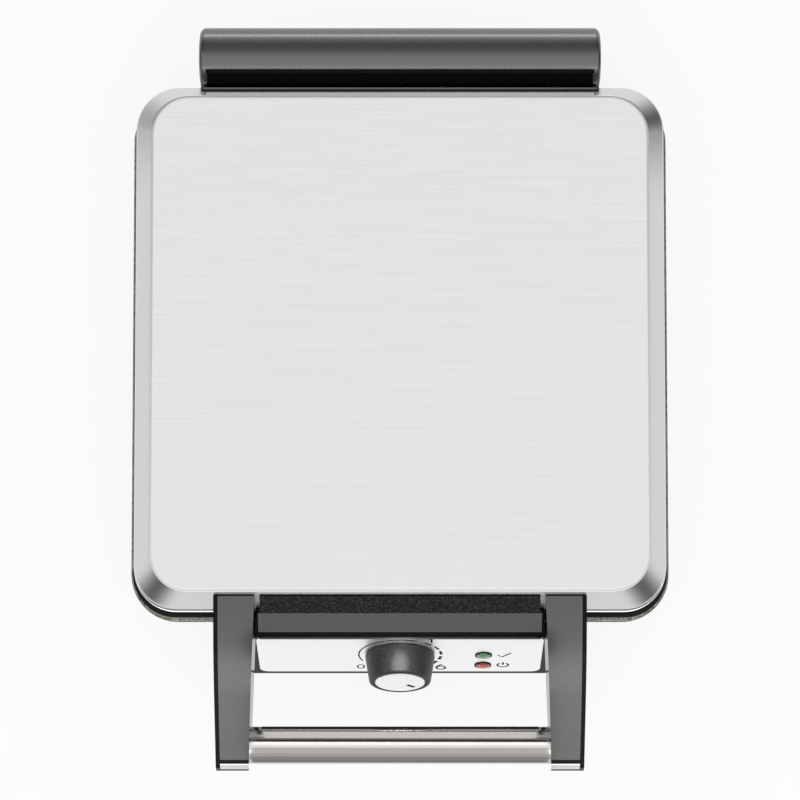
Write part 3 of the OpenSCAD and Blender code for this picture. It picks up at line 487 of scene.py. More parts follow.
# Black plastic: satin, smooth, textured, high gloss, and the knob's
BLACK = Moulded("black_plastic", grey(0.008), 0.45, grain=1100.0, contrast=0.1, specks=0.9, specular=0.12)
SLEEK = Moulded("black_plastic", grey(0.005), 0.14, relief_mm=0.002, contrast=0.1, specular=0.08)
TEXTURED = Moulded("black_plastic", (0.0062, 0.0062, 0.006), 0.50, relief_mm=0.08, contrast=0.4, specks=6.0,
                   specular=0.12)
GLOSS = Moulded("gloss_black", grey(0.001), 0.10, grain=260.0, relief_mm=0.002, ior=1.45, specular=0.04)
KNOB = Moulded("knob_plastic", (0.019, 0.019, 0.0185), 0.44, grain=1300.0, relief_mm=0.04, ior=1.6,
               contrast=0.3, specks=2.4, specular=0.4)

# Coatings, rubber, lamps and what the housing holds
NONSTICK = Moulded("nonstick", (0.03, 0.03, 0.033), 0.32, grain=1500.0, relief_mm=0.012, ior=1.6,
                   contrast=0.2, specks=1.5)
INNER_FRAME = Moulded("frame_steel", (0.045, 0.045, 0.05), 0.45, grain=500.0, relief_mm=0.01, ior=1.6)
RUBBER = Moulded("foot_rubber", grey(0.02), 0.75, grain=800.0, relief_mm=0.03)
GREEN = Lens("green_lens", (0.075, 0.235, 0.11), 0.18)
RED = Lens("red_lens", (0.48, 0.045, 0.03), 0.18)
BOARD = Moulded("board_green", (0.03, 0.16, 0.07), 0.35, grain=400.0, relief_mm=0.004)
CERAMIC = Moulded("cream_ceramic", (0.70, 0.66, 0.55), 0.60, grain=700.0, contrast=0.04)
WIRE = Moulded("wire_red", (0.40, 0.03, 0.02), 0.45, grain=600.0, relief_mm=0.01)


# ---------- drawing ----------


@dataclass(frozen=True)
class Ring:
    """A rounded rectangle in plan at one height, in millimetres."""

    half_w: float
    front: float
    back: float
    radius: float
    z: float

    LEAST_RADIUS: ClassVar[float] = 0.05

    @property
    def sizes(self) -> tuple[float, float, float, float, float]:
        """The five sizes as plain numbers."""
        return (self.half_w, self.front, self.back, self.radius, self.z)

    def inset(self, by: float, z: float | None = None) -> "Ring":
        """Moves the outline inwards, and to another height where one is given."""
        radius, height = max(self.radius - by, self.LEAST_RADIUS), self.z if z is None else z
        return Ring(self.half_w - by, self.front + by, self.back - by, radius, height)

    def towards(self, other: "Ring", share: float) -> "Ring":
        """The outline that lies a share of the way to another one."""
        return Ring(*(mine + (theirs - mine) * share for mine, theirs in zip(self.sizes, other.sizes)))

    def holds(self, point: Vector) -> bool:
        """Whether a point lies inside the outline in plan.

        Args:
            point: The point, in millimetres.

        Returns:
            True if it does.
        """
        r = self.radius
        along = max(abs(point.x) - self.half_w + r, 0)
        across = max(self.front + r - point.y, point.y - self.back + r, 0)
        return math.hypot(along, across) < r

    def points(self, steps: int = 16) -> list[Vector]:
        """Points round the outline, anticlockwise from the right rear corner.

        Args:
            steps: Steps round each corner.

        Returns:
            The points, in millimetres.
        """
        r = self.radius
        x = self.half_w - r
        corners = ((x, self.back - r), (-x, self.back - r), (-x, self.front + r), (x, self.front + r))
        ring = []
        for quarter, (cx, cy) in enumerate(corners):
            for step in range(steps + 1):
                angle = math.radians(90 * (quarter + step / steps))
                ring.append(Vector((cx + r * math.cos(angle), cy + r * math.sin(angle), self.z)))
        return ring


def rounded(before: Ring, corner: Ring, after: Ring, reach: Pair, steps: int) -> list[Ring]:
    """Rounds the edge between two slopes.

    Args:
        before: Outline that the first slope comes from.
        corner: Outline of the sharp edge.
        after: Outline that the second slope goes to.
        reach: Shares of the two slopes that the rounding takes.
        steps: Steps round the edge.

    Returns:
        The outlines of the rounding, first slope first.
    """
    start = corner.towards(before, reach[0])
    end = corner.towards(after, reach[1])
    rings = []
    for step in range(steps + 1):
        t = step / steps
        rings.append(start.towards(corner, t).towards(corner.towards(end, t), t))
    return rings


def rounded_outline(corners: Sequence[Place], steps: int = 5, most_reach: float = 0.49) -> list[Pair]:
    """Rounds the corners of a closed outline.

    Args:
        corners: Points (u, v, radius); a radius of 0 keeps the corner as it is.
        steps: Steps round each corner.
        most_reach: Largest share of a side that one rounding may take.

    Returns:
        The points of the rounded outline.
    """
    outline: list[Pair] = []
    for index, (u, v, radius) in enumerate(corners):
        here = Vector((u, v))
        if radius <= 0:
            outline.append((u, v))
            continue
        before = Vector(corners[index - 1][:2]) - here
        after = Vector(corners[(index + 1) % len(corners)][:2]) - here
        half = before.angle(after) / 2
        reach = min(radius / math.tan(half), before.length * most_reach, after.length * most_reach)
        start, end = here + before.normalized() * reach, here + after.normalized() * reach
        for step in range(steps + 1):
            t = step / steps
            point = start.lerp(here, t).lerp(here.lerp(end, t), t)
            outline.append((point.x, point.y))
    return outline


def turned(profile: Iterable[Pair], place: Matrix, steps: int) -> list[list[Vector]]:
    """Turns a profile round its axis.

    Args:
        profile: Points (radius, height).
        place: Matrix whose z axis is the axis to turn round.
        steps: Steps round the axis.

    Returns:
        One row of points for each point of the profile.
    """
    rows = []
    for radius, height in profile:
        angles = (math.tau * step / steps for step in range(steps))
        rows.append([place @ Vector((radius * math.cos(a), radius * math.sin(a), height)) for a in angles])
    return rows


class Form:
    """Points and faces of one piece while it is drawn, in millimetres."""

    WELD: ClassVar[float] = 1e-4

    def __init__(self) -> None:
        """Starts an empty piece."""
        self.mesh = bmesh.new()

    def skin(self, rows: Sequence[Sequence[Vector]], joined: bool = False) -> list[list[bmesh.types.BMVert]]:
        """Lays faces between closed rows that have the same number of points.

        Args:
            rows: The rows, in order.
            joined: Whether the last row joins the first.

        Returns:
            The rows' vertices.
        """
        loops = [[self.mesh.verts.new(point) for point in row] for row in rows]
        pairs = list(zip(loops, loops[1:])) + ([(loops[-1], loops[0])] if joined else [])
        for low, high in pairs:
            count = len(low)
            for i in range(count):
                j = (i + 1) % count
                self.mesh.faces.new((low[i], low[j], high[j], high[i]))
        return loops

    def solid(self, rows: Sequence[Sequence[Vector]]) -> None:
        """Lays faces between closed rows, and closes the first and the last.

        Args:
            rows: The rows, in order.
        """
        loops = self.skin(rows)
        self.mesh.faces.new(loops[0])
        self.mesh.faces.new(loops[-1])

    def piece(self, name: str, finish: Finish, body: str, replaced: Sequence[str] = (),
              sharp_deg: float = 38.0) -> bpy.types.Object:
        """Turns the drawing into a piece of the object.

        Args:
            name: Name of the piece.
            finish: What it is dressed in.
            body: CAD body that it rides on.
            replaced: CAD nodes that it stands for.
            sharp_deg: Angle above which an edge stays sharp.

        Returns:
            The piece.
        """
        bmesh.ops.remove_doubles(self.mesh, verts=self.mesh.verts, dist=self.WELD)
        bmesh.ops.recalc_face_normals(self.mesh, faces=self.mesh.faces)
        bmesh.ops.scale(self.mesh, vec=(MM,) * 3, verts=self.mesh.verts)
        data = bpy.data.meshes.new(name)
        self.mesh.to_mesh(data)
        self.mesh.free()
        data.shade_smooth()
        data.set_sharp_from_angle(angle=math.radians(sharp_deg))
        data.materials.append(finish.material)
        made = bpy.data.objects.new(name, data)
        bpy.context.scene.collection.objects.link(made)
        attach(made, body)
        if replaced:
            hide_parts(*replaced)
        LOG.info("drew %s, %d faces, on %s", name, len(data.polygons), body)
        return made


def dress(finish: Finish, *names: str, edge_mm: float) -> None:
    """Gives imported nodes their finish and, where asked, soft edges.

    Args:
        finish: What they are dressed in.
        *names: The nodes.
        edge_mm: Width of the rounding along their edges, or 0 for none.
    """
    for name in names:
        node = frame["nodes"][name]
        for place in node.material_slots:
            place.link = "OBJECT"
            place.material = finish.material
        if edge_mm:
            soft = node.modifiers.new("soft_edges", "BEVEL")
            soft.width = edge_mm * MM
            soft.segments = EDGE_STEPS
            soft.limit_method = "ANGLE"
            soft.angle_limit = math.radians(EDGE_ABOVE_DEG)
            soft.miter_outer = "MITER_ARC"
            even = node.modifiers.new("even_shading", "WEIGHTED_NORMAL")
            even.keep_sharp = True
        LOG.info("dressed %s in %s", name, finish.slot)


def box(name: str) -> tuple[Vector, Vector]:
    """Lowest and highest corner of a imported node, in millimetres."""
    low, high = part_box(name)
    return low / MM, high / MM


def joint(name: str) -> dict:
    """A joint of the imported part, with its place and axis."""
    return next(each for each in frame["joints"] if each["name"] == name)


# ---------- lid ----------


@dataclass
class Lid:
    """Pressed steel lid with its ledge, bevel and flared wall, and the sheet on its top."""

    sheet_t: float = 1.5
    corner_r: float = 23.0
    brow_in: float = 2.0
    bevel_drop: float = 12.0
    ledge_w: float = 1.1
    ledge_in: float = 6.0
    ledge_shade_depth: float = 0.12
    hem_lip: float = 1.0
    hem_curl: float = 0.25
    curl_rise: float = 0.55
    lip_rise: float = 0.75
    panel_r: float = 19.0
    panel_lift: float = 0.02
    panel_foot: float = 0.1
    panel_edge: float = 1.0
    panel_flat: float = 1.2

    @cached_property
    def hem(self) -> Ring:
        """Lower edge of the lid."""
        low, high = box("lid_shell")
        return Ring(high.x, low.y, high.y, self.corner_r, low.z)

    @cached_property
    def ledge(self) -> Ring:
        """Upper edge of the bevel.

        Returns:
            Its outline.
        """
        low, high = box("lid_top_panel")
        edge = self.ledge_w
        top = box("lid_shell")[1].z
        return Ring(high.x + edge, low.y - edge, high.y + edge, self.panel_r + edge, top)

    @cached_property
    def brow(self) -> Ring:
        """Edge between the wall and the bevel, whose corners are as round as the hem's."""
        edge = self.hem.inset(self.brow_in, self.ledge.z - self.bevel_drop)
        return Ring(edge.half_w, edge.front, edge.back, self.corner_r, edge.z)

    def build(self) -> None:
        """Draws the pressing and the top sheet, and dresses what the lid holds."""
        self.pressing()
        self.top_sheet()
        dress(INNER_FRAME, "lid_inner_frame", edge_mm=0.4)
        dress(ZINC, "lid_frame_screws", "upper_plate_screws", "handle_screws", "lid_hinge_screws",
              edge_mm=0.2)
        dress(ZINC, "lid_hinge_brackets", edge_mm=0.3)
        dress(SHAFT, "hinge_shaft", edge_mm=0.3)
        dress(ELEMENT, "upper_heating_element", edge_mm=0)
        dress(REFLECTOR, "upper_heat_reflector", edge_mm=0.3)
        dress(NONSTICK, "upper_waffle_plate", edge_mm=0.5)

    def pressing(self) -> None:
        """Draws the shell with rounded edges, outside and inside."""
        hem, brow, ledge = self.hem, self.brow, self.ledge
        middle = ledge.inset(self.ledge_in)
        inner_hem = hem.inset(self.sheet_t)
        lip_top = hem.inset(self.hem_curl, hem.z + self.curl_rise)
        lip_root = hem.inset(self.hem_lip, hem.z + self.lip_rise)
        rings = [inner_hem, *rounded(inner_hem, hem, lip_top, reach=(0.3, 0.9), steps=3)]
        rings += [lip_top, *rounded(lip_top, lip_root, brow, reach=(0.5, 0.02), steps=3)]
        rings += rounded(lip_root, brow, ledge, reach=(0.12, 0.16), steps=6)
        rings += rounded(brow, ledge, middle, reach=(0.03, 0.07), steps=5)
        rings.append(middle)
        outside = [ring.points() for ring in rings]
        inside = [ring.inset(self.sheet_t, ring.z - drop).points()
                  for ring, drop in ((brow, self.sheet_t / 2), (ledge, self.sheet_t))]
        form = Form()
        form.solid([*reversed(outside), *inside])
        pressed = form.piece("lid_pressing", SHELL, "lid", ["lid_shell"])
        # The ledge's faces take the darker copy of the steel: painted shade round the top sheet.
        pressed.data.materials.append(SHADED_LEDGE.material)
        for facet in pressed.data.polygons:
            if facet.center.z > (ledge.z - self.ledge_shade_depth) * MM:
                facet.material_index = 1

    def top_sheet(self) -> None:
        """Draws the flat brushed sheet with its rolled edge."""
        low, high = box("lid_top_panel")
        foot = Ring(high.x, low.y, high.y, self.panel_r, low.z + self.panel_lift)
        top = foot.inset(0, high.z)
        edge = rounded(foot, top, top.inset(self.panel_edge), reach=(0.35, 0.28), steps=4)
        rings = [foot.inset(self.panel_foot), *edge, top.inset(self.panel_flat)]
        form = Form()
        form.solid([ring.points(20) for ring in rings])
        form.piece("lid_top_sheet", PANEL, "lid", ["lid_top_panel"])


@dataclass
class HingeCover:
    """Dark half-round cover over the rear hinge, with a trough along its front.

    front_wall holds the corners of the trough's front wall: how far each lies behind the lid's brow and above
    the trough's floor, and its rounding.
    """

    lid: Lid
    radius: float = 17.0
    wall: float = 2.2
    start_deg: float = -8.0
    end_deg: float = 119.0
    under_lap_deg: float = 3.0
    trough_rise: float = 10.0
    trough_back: float = 9.0
    front_wall: tuple[Place, ...] = ((2.9, 0.0, 0.9), (2.1, 5.0, 0.0), (-1.2, 12.1, 0.2), (-2.0, 12.0, 0.3))
    toe: float = 2.45
    skirt: float = 1.5
    lid_gap: float = 2.0
    inner_rise: float = 2.0
    wall_shade_w: float = 3.0
    wall_shade_h: float = 11.9
    steps: int = 56

    @cached_property
    def axis(self) -> Pair:
        """The hinge axis as (y, z)."""
        place = joint("lid_hinge")["pos_m"]
        return place[1] / MM, place[2] / MM

    def arc(self, radius: float, start: float, end: float, roundings: Pair) -> list[Place]:
        """Points round the hinge axis, from one angle to another.

        Args:
            radius: Radius of the arc.
            start: First angle in degrees.
            end: Last angle in degrees.
            roundings: Roundings of the first and the last point.

        Returns:
            The points as (y, z, rounding).
        """
        y, z = self.axis
        angles = (math.radians(start + (end - start) * i / self.steps) for i in range(self.steps + 1))
        line = [(y + radius * math.cos(a), z + radius * math.sin(a), 0.0) for a in angles]
        return [(*line[0][:2], roundings[0]), *line[1:-1], (*line[-1][:2], roundings[1])]

    def outline(self) -> list[Pair]:
        """Side view of the cover: round back, trough, lip on the lid's bevel, wall down the lid's back.

        Returns:
            The closed outline as (y, z).
        """
        y, z = self.axis
        brow, ledge, hem = self.lid.brow, self.lid.ledge, self.lid.hem
        floor_z, floor_back = z + self.trough_rise, y - self.trough_back
        fall = (ledge.z - brow.z) / (brow.back - ledge.back)
        flare = (hem.back - brow.back) * (brow.z - z + self.skirt) / (brow.z - hem.z)
        front_in, back_in = hem.back + self.lid_gap, floor_back + self.wall
        outer = [
            (floor_back, floor_z, 0.9),
            *((brow.back + behind, floor_z + above, radius) for behind, above, radius in self.front_wall),
            (brow.back - self.toe, brow.z + self.toe * fall, 0.1),
            (brow.back, brow.z, 0),
            (brow.back + flare, z - self.skirt, 0.4),
        ]
        inner = [
            (front_in, z - self.skirt, 0.4),
            (front_in, floor_z - self.wall, 0.6),
            (back_in, floor_z - self.wall, 0.6),
            (back_in, floor_z + self.inner_rise, 0.3),
        ]
        back = self.arc(self.radius, self.start_deg, self.end_deg, (0.5, 0.9))
        under_end = self.end_deg - self.under_lap_deg
        under = self.arc(self.radius - self.wall, under_end, self.start_deg, (0.0, 0.5))
        return rounded_outline([*back, *outer, *inner, *under], steps=4)

    def build(self) -> None:
        """Draws the cover, with its trough's front wall painted near-black gloss as shade, and dresses its
        strip and end caps.
        """
        low, high = box("hinge_cover")
        outline = self.outline()
        form = Form()
        form.solid([[Vector((x, y, z)) for y, z in outline] for x in (low.x, low.x / 3, high.x / 3, high.x)])
        shell = form.piece("hinge_cover_shell", GRAPHITE, "lid", ["hinge_cover"], sharp_deg=30)
        # The trough's front wall takes the near-black gloss: painted shade for the deep trough.
        shell.data.materials.append(GLOSS.material)
        front, trough = self.lid.brow.back, self.axis[1] + self.trough_rise
        for facet in shell.data.polygons:
            spot = facet.center / MM
            on_wall = front < spot.y < front + self.wall_shade_w and trough < spot.z < trough + self.wall_shade_h
            if on_wall and facet.normal.y > 0.5:
                facet.material_index = 1
        dress(GLOSS, "hinge_cover_strip", edge_mm=0.15)
        dress(GRAPHITE, "hinge_end_cap_left", "hinge_end_cap_right", edge_mm=0.5)


# ---------- handle ----------


@dataclass
class Handle:
    """Two arms with covers and bright caps, the round bar between them, and the bracket on the lid."""

    edge_mm: float = 0.6
    cover_edge_mm: float = 0.35

    def build(self) -> None:
        """Dresses the handle's pieces."""
        dress(SLEEK, "handle_arm_left", "handle_arm_right", edge_mm=self.edge_mm)
        dress(TEXTURED, "handle_bracket", edge_mm=self.edge_mm)
        dress(SMOKE, "arm_cover_left", "arm_cover_right", "handle_front_trim", edge_mm=self.cover_edge_mm)
        dress(CHROME, "arm_end_cap_left", "arm_end_cap_right", edge_mm=0.5)
        dress(BAR, "handle_bar", edge_mm=0.4)
        dress(BLACK, "handle_bar_plugs", edge_mm=0.3)


# ---------- base ----------


@dataclass
class Base:
    """Plastic housing with its steel band, floor, feet and hinge brackets, and what they hold.

    bright_edge is the width of the steel along the top, at the sides and at the front and back; inside it,
    the top of the lip is painted black as shade.
    """

    band_t: float = 1.2
    lip_t: float = 1.0
    corner_r: float = 25.5
    opening_r: float = 15.0
    opening_gap: float = 1.0
    bright_edge: Pair = (1.0, 2.5)
    roll_drop: float = 1.5
    gap_shade_depth: float = 0.2

    def build(self) -> None:
        """Draws the band and dresses the rest."""
        self.band()
        dress(BLACK, "base_housing", "base_floor", "cord_gland", edge_mm=0.6)
        dress(INNER_FRAME, "base_inner_frame", edge_mm=0.4)
        dress(NONSTICK, "lower_waffle_plate", edge_mm=0.5)
        dress(RUBBER, "rubber_feet", edge_mm=0.9)
        dress(ZINC, "floor_screws", "foot_screws", "lower_plate_screws", "base_hinge_screws", edge_mm=0.2)
        dress(ZINC, "base_hinge_brackets", edge_mm=0.4)
        dress(BRONZE, "hinge_bushes", edge_mm=0.3)
        dress(ELEMENT, "lower_heating_element", edge_mm=0)
        dress(REFLECTOR, "lower_heat_reflector", edge_mm=0.3)
        dress(CERAMIC, "thermal_fuse", "terminal_block", edge_mm=0.4)
        dress(WIRE, "internal_wires", edge_mm=0)

    def band(self) -> None:
        """Draws the steel band, turned inwards along its top and rolled at its foot."""
        low, high = box("base_rim_band")
        foot = Ring(high.x, low.y, high.y, self.corner_r, low.z)
        top = foot.inset(0, high.z)
        plate_low, plate_high = box("lower_waffle_plate")
        gap = self.opening_gap
        mouth = Ring(plate_high.x + gap, plate_low.y - gap, plate_high.y + gap, self.opening_r, high.z)
        under = mouth.inset(0, high.z - self.lip_t)
        inner_top = top.inset(self.band_t, high.z - self.lip_t)
        inner_foot = foot.inset(self.band_t)
        side, end = self.bright_edge
        edge = Ring(top.half_w - side, top.front + end, top.back - end, top.radius - end, top.z)
        rings = [inner_foot, *rounded(inner_foot, foot, top, reach=(0.9, 0.03), steps=4)]
        rings += [*rounded(foot, top, edge, reach=(0.05, 0.55), steps=6), edge]
        rings += [*rounded(top, mouth, under, reach=(0.05, 0.5), steps=3), under, inner_top]
        form = Form()
        form.skin([ring.points() for ring in rings], joined=True)
        rim = form.piece("base_rim_rolled", RIM, "base", ["base_rim_band"])
        # Inside the bright edge, the top of the lip takes black plastic: painted shade for the dark gap under
        # the lid's edge.
        rim.data.materials.append(BLACK.material)
        rim.data.materials.append(BAND.material)
        for facet in rim.data.polygons:
            if facet.center.z < (top.z - self.roll_drop) * MM:
                facet.material_index = 2
            elif facet.center.z > (top.z - self.gap_shade_depth) * MM and edge.holds(facet.center / MM):
                facet.material_index = 1


# ---------- controls ----------


class Mark(Enum):
    """The plain numbers and signs that are printed on the face."""

    ZERO = "0"
    ONE = "1"
    SIX = "6"
    TICK = "tick"
    POWER = "power"


class Ink:
    """Thin printed marks on a flat face, drawn as strokes."""

    THICK: ClassVar[float] = 0.02
    # Width of the pen and half the width of a digit, as shares of the height.
    PEN: ClassVar[float] = 0.15
    WIDE: ClassVar[float] = 0.33

    def __init__(self, face: Matrix, height: float) -> None:
        """Starts an empty print.

        Args:
            face: Frame of the printed face.
            height: Height of the print above the face, in millimetres.
        """
        self.face = face
        self.height = height
        self.form = Form()

    def stroke(self, points: Sequence[Sequence[float]], width: float, end_width: float | None = None) -> None:
        """Draws a line of even or growing width.

        Args:
            points: Points along its middle, on the face.
            width: Width at its start.
            end_width: Width at its end, where it differs.
        """
        line = [Vector(point) for point in points]
        last = len(line) - 1
        end_width = width if end_width is None else end_width
        rows = []
        for index, point in enumerate(line):
            along = line[min(index + 1, last)] - line[max(index - 1, 0)]
            half = (width + (end_width - width) * index / last) / 2
            side = Vector((-along.y, along.x)).normalized() * half
            corners = ((point + side, 0.0), (point + side, self.THICK), (point - side, self.THICK),
                       (point - side, 0.0))
            rows.append([self.face @ Vector((spot.x, spot.y, self.height + up)) for spot, up in corners])
        self.form.solid(rows)

    def arc(self, centre: Pair, radius: float, turn: Pair, widths: Pair, steps: int) -> None:
        """Draws a round line.

        Args:
            centre: Middle of the arc on the face.
            radius: Radius of the line's middle.
            turn: First and last angle in degrees.
            widths: Width at its start and at its end.
            steps: Steps along it.
        """
        start, end = turn
        angles = (math.radians(start + (end - start) * i / steps) for i in range(steps + 1))
        line = [(centre[0] + radius * math.cos(a), centre[1] + radius * math.sin(a)) for a in angles]
        self.stroke(line, *widths)

    def draw(self, mark: Mark, place: Pair, size: float) -> None:
        """Draws one plain number or sign.

        Args:
            mark: Which one.
            place: Its middle on the face.
            size: Its height.
        """
        x, y = place
        half, pen, wide = size / 2, size * self.PEN, size * self.WIDE
        if mark is Mark.ZERO:
            angles = [math.tau * i / 24 for i in range(25)]
            self.stroke([(x + wide * math.cos(a), y + half * math.sin(a)) for a in angles], pen)
        elif mark is Mark.ONE:
            self.stroke([(x, y - half), (x, y + half)], pen)
            self.stroke([(x - wide * 0.9, y + half * 0.6), (x, y + half)], pen)
        elif mark is Mark.SIX:
            self.arc((x, y - half + wide), wide, (90, 450), (pen, pen), steps=24)
            self.arc((x + wide * 1.1, y - half + wide), wide * 2.1, (180, 112), (pen, pen), steps=12)
        elif mark is Mark.TICK:
            bends = ((-0.9, 0.0), (-0.25, -0.8), (1.1, 0.9))
            self.stroke([(x + half * u, y + half * v) for u, v in bends], pen)
        elif mark is Mark.POWER:
            self.arc((x, y), half * 0.85, (125, 415), (pen, pen), steps=24)
            self.stroke([(x, y + half * 0.1), (x, y + half * 1.15)], pen)


@dataclass(frozen=True)
class Indicator:
    """One indicator lamp: its packed lens, its place up the face, its tint and the sign beside it."""

    lens: str
    up: float
    tint: Finish
    sign: Mark


@dataclass
class Controls:
    """Control box with its steel face, dial marks, lamps and knob.

    A Pair named reach, turn or w holds the value at the start of a line and at its end.
    """

    knob_foot_r: float = 19.0
    knob_front_r: float = 16.6
    knob_gap: float = 1.0
    knob_l: float = 15.0
    knob_bore_r: float = 4.0
    knob_brow: float = 0.7
    brow_shade_depth: float = 0.4
    recess: float = 1.0
    cap_r: float = 13.5
    cap_gap: float = 0.15
    cap_lift: float = 0.02
    cap_t: float = 1.12
    cap_slope: float = 0.9
    pointer_deg: float = -42.0
    pointer_reach: Pair = (0.38, 0.78)
    pointer_w: Pair = (2.3, 2.1)
    pointer_lift: float = 0.01
    turn_steps: int = 96
    print_lift: float = 0.02
    dial_r: float = 22.4
    ring_turn: Pair = (205.0, 66.0)
    ring_w: Pair = (0.8, 1.0)
    dashes: int = 5
    dash_start: float = 54.0
    dash_pitch: float = 20.0
    dash_turn: float = 13.0
    dash_w: Pair = (1.1, 1.3)
    dash_growth: float = 0.2
    numbers: tuple[tuple[Mark, Pair, float], ...] = (
        (Mark.ZERO, (-21.5, -18.5), 5.6),
        (Mark.ONE, (17.0, 21.3), 6.0),
        (Mark.SIX, (22.5, -19.0), 7.4),
    )
    indicators: tuple[Indicator, ...] = (
        Indicator("ready_lamp_lens", -0.6, GREEN, Mark.TICK),
        Indicator("power_lamp_lens", -16.0, RED, Mark.POWER),
    )
    sign_gap: float = 11.0
    sign_h: float = 7.0
    lens_r: float = 3.9
    lens_sink: float = 3.0
    lens_gap: float = 0.05
    lamp_rim: float = 0.8
    rim_root: float = 0.4
    rim_rise: float = 0.5
    dome: float = 1.2
    dome_sink: float = 0.15
    dome_steps: int = 10
    lamp_steps: int = 48

    @cached_property
    def face(self) -> Matrix:
        """Frame of the sloped face: z out of it, y up its slope, the origin at the knob.

        Returns:
            The frame as a matrix.
        """
        turning = joint("knob_turn")
        out = Vector(turning["axis"]).normalized()
        across = Vector((1, 0, 0))
        turn = Matrix((across, out.cross(across), out)).transposed().to_4x4()
        return Matrix.Translation(Vector(turning["pos_m"]) / MM) @ turn

    def on_face(self, node: str) -> Vector:
        """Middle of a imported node, seen from the face."""
        low, high = box(node)
        return self.face.inverted() @ ((low + high) / 2)

    def build(self) -> None:
        """Draws the knob and the marks, and dresses the rest."""
        self.knob()
        self.cap()
        self.dial()
        self.lamps()
        dress(BLACK, "control_housing", edge_mm=0.8)
        dress(FASCIA, "control_fascia", edge_mm=0.25)
        dress(BOARD, "lamp_board", edge_mm=0.1)
        dress(CERAMIC, "thermostat_body", edge_mm=0.5)
        dress(ZINC, "thermostat_bracket", "knob_spring_clip", edge_mm=0.2)
        dress(SHAFT, "thermostat_spindle", edge_mm=0.2)

    def knob(self) -> None:
        """Draws the knob's body, with soft edges, the recess for its cap, and painted shade round the recess.
        """
        foot, top = self.knob_gap, self.knob_gap + self.knob_l
        hole_r, hole_z = self.cap_r + self.cap_gap, top - self.recess
        outline = rounded_outline([
            (self.knob_bore_r, foot, 0), (self.knob_foot_r, foot, 0.5), (self.knob_front_r, top, 1.5),
            (hole_r, top, 0.3), (hole_r, hole_z, 0), (self.knob_bore_r, hole_z, 0),
        ])
        form = Form()
        form.solid(turned(outline, self.face, self.turn_steps))
        grip = form.piece("knob_grip", KNOB, "knob", ["knob_body"])
        # The knob's front face round the cap takes near-black gloss: painted shade for the dark gap round the
        # cap.
        grip.data.materials.append(SLEEK.material)
        inwards = self.face.inverted()
        for facet in grip.data.polygons:
            spot = inwards @ (facet.center / MM)
            if spot.z > top - self.brow_shade_depth and spot.xy.length < self.knob_front_r - self.knob_brow:
                facet.material_index = 1

    def cap(self) -> None:
        """Draws the knob's steel cap with its short pointer mark."""
        low = self.knob_gap + self.knob_l - self.recess + self.cap_lift
        top = low + self.cap_t
        outline = rounded_outline([(1.0, low, 0), (self.cap_r, low, 0), (self.cap_r, top, 0.4),
                                   (self.cap_r - self.cap_slope, top, 0), (1.0, top, 0)])
        form = Form()
        form.solid(turned(outline, self.face, self.turn_steps))
        form.piece("knob_cap_disc", FASCIA, "knob", ["knob_cap"])
        angle = math.radians(self.pointer_deg)
        way = Vector((math.cos(angle), math.sin(angle)))
        mark = Ink(self.face, top + self.pointer_lift)
        mark.stroke([way * self.cap_r * share for share in self.pointer_reach], *self.pointer_w)
        mark.form.piece("knob_pointer", GLOSS, "knob")

    def dial(self) -> None:
        """Draws the ring that grows into dashes, plain numbers, and two plain signs by the lamps."""
        marks = Ink(self.face, self.print_lift)
        marks.arc((0, 0), self.dial_r, self.ring_turn, self.ring_w, steps=60)
        for index in range(self.dashes):
            start = self.dash_start - index * self.dash_pitch
            growth = index * self.dash_growth
            widths = (self.dash_w[0] + growth, self.dash_w[1] + growth)
            marks.arc((0, 0), self.dial_r, (start, start - self.dash_turn), widths, steps=8)
        for number, place, size in self.numbers:
            marks.draw(number, place, size)
        for indicator in self.indicators:
            middle = self.on_face(indicator.lens)
            marks.draw(indicator.sign, (middle.x + self.sign_gap, middle.y), self.sign_h)
        marks.form.piece("dial_marks", GLOSS, "base")

    def lamps(self) -> None:
        """Draws the two low lenses and the thin rings round them."""
        rims = Form()
        inner, outer, rise = self.lens_r + self.lens_gap, self.lens_r + self.lamp_rim, self.rim_rise
        hoop = rounded_outline([(inner, -self.rim_root, 0), (outer, -self.rim_root, 0), (outer, rise, 0.15),
                                (inner, rise, 0.1)], steps=2)
        angles = [math.radians(90 * step / self.dome_steps) for step in range(self.dome_steps)]
        dome = [(self.lens_r * math.cos(a), rise - self.dome_sink + self.dome * math.sin(a)) for a in angles]
        for indicator in self.indicators:
            node = indicator.lens
            place = self.face @ Matrix.Translation((self.on_face(node).x, indicator.up, 0))
            rims.skin(turned(hoop, place, self.lamp_steps), joined=True)
            lens = Form()
            lens.solid(turned([(self.lens_r, -self.lens_sink), *dome], place, self.lamp_steps))
            lens.piece(node.replace("lens", "dome"), indicator.tint, "base", [node], sharp_deg=60)
        rims.piece("lamp_rims", GLOSS, "base", ["lamp_bezels"])


# ---------- studio ----------


@dataclass(frozen=True)
class SoftCloth(Finish):
    """Dark cloth that thins out towards both sides of its card; density is its cover along the middle."""

    colour: Colour = grey(0.02)
    roughness: float = 0.5
    density: float = 1.0
    weave: float = 300.0

    def paint(self, sheet: MaterialSheet) -> None:
        """Adds the weave, and the clear part at the sides.

        Args:
            sheet: Tree to add them to.
        """
        sheet.tint(sheet.noise((self.weave,) * 3), self.colour, shade(self.colour, 2))
        cover = [(0.0, grey(0.0)), (0.5, grey(self.density)), (1.0, grey(0.0))]
        ramp = sheet.ramp(sheet.split("Generated"), "X", cover, "EASE")
        clear = sheet.add("ShaderNodeBsdfTransparent")
        sheet.join(sheet.either(ramp, "Color", clear, sheet.shader), "Shader", sheet.output, "Surface")


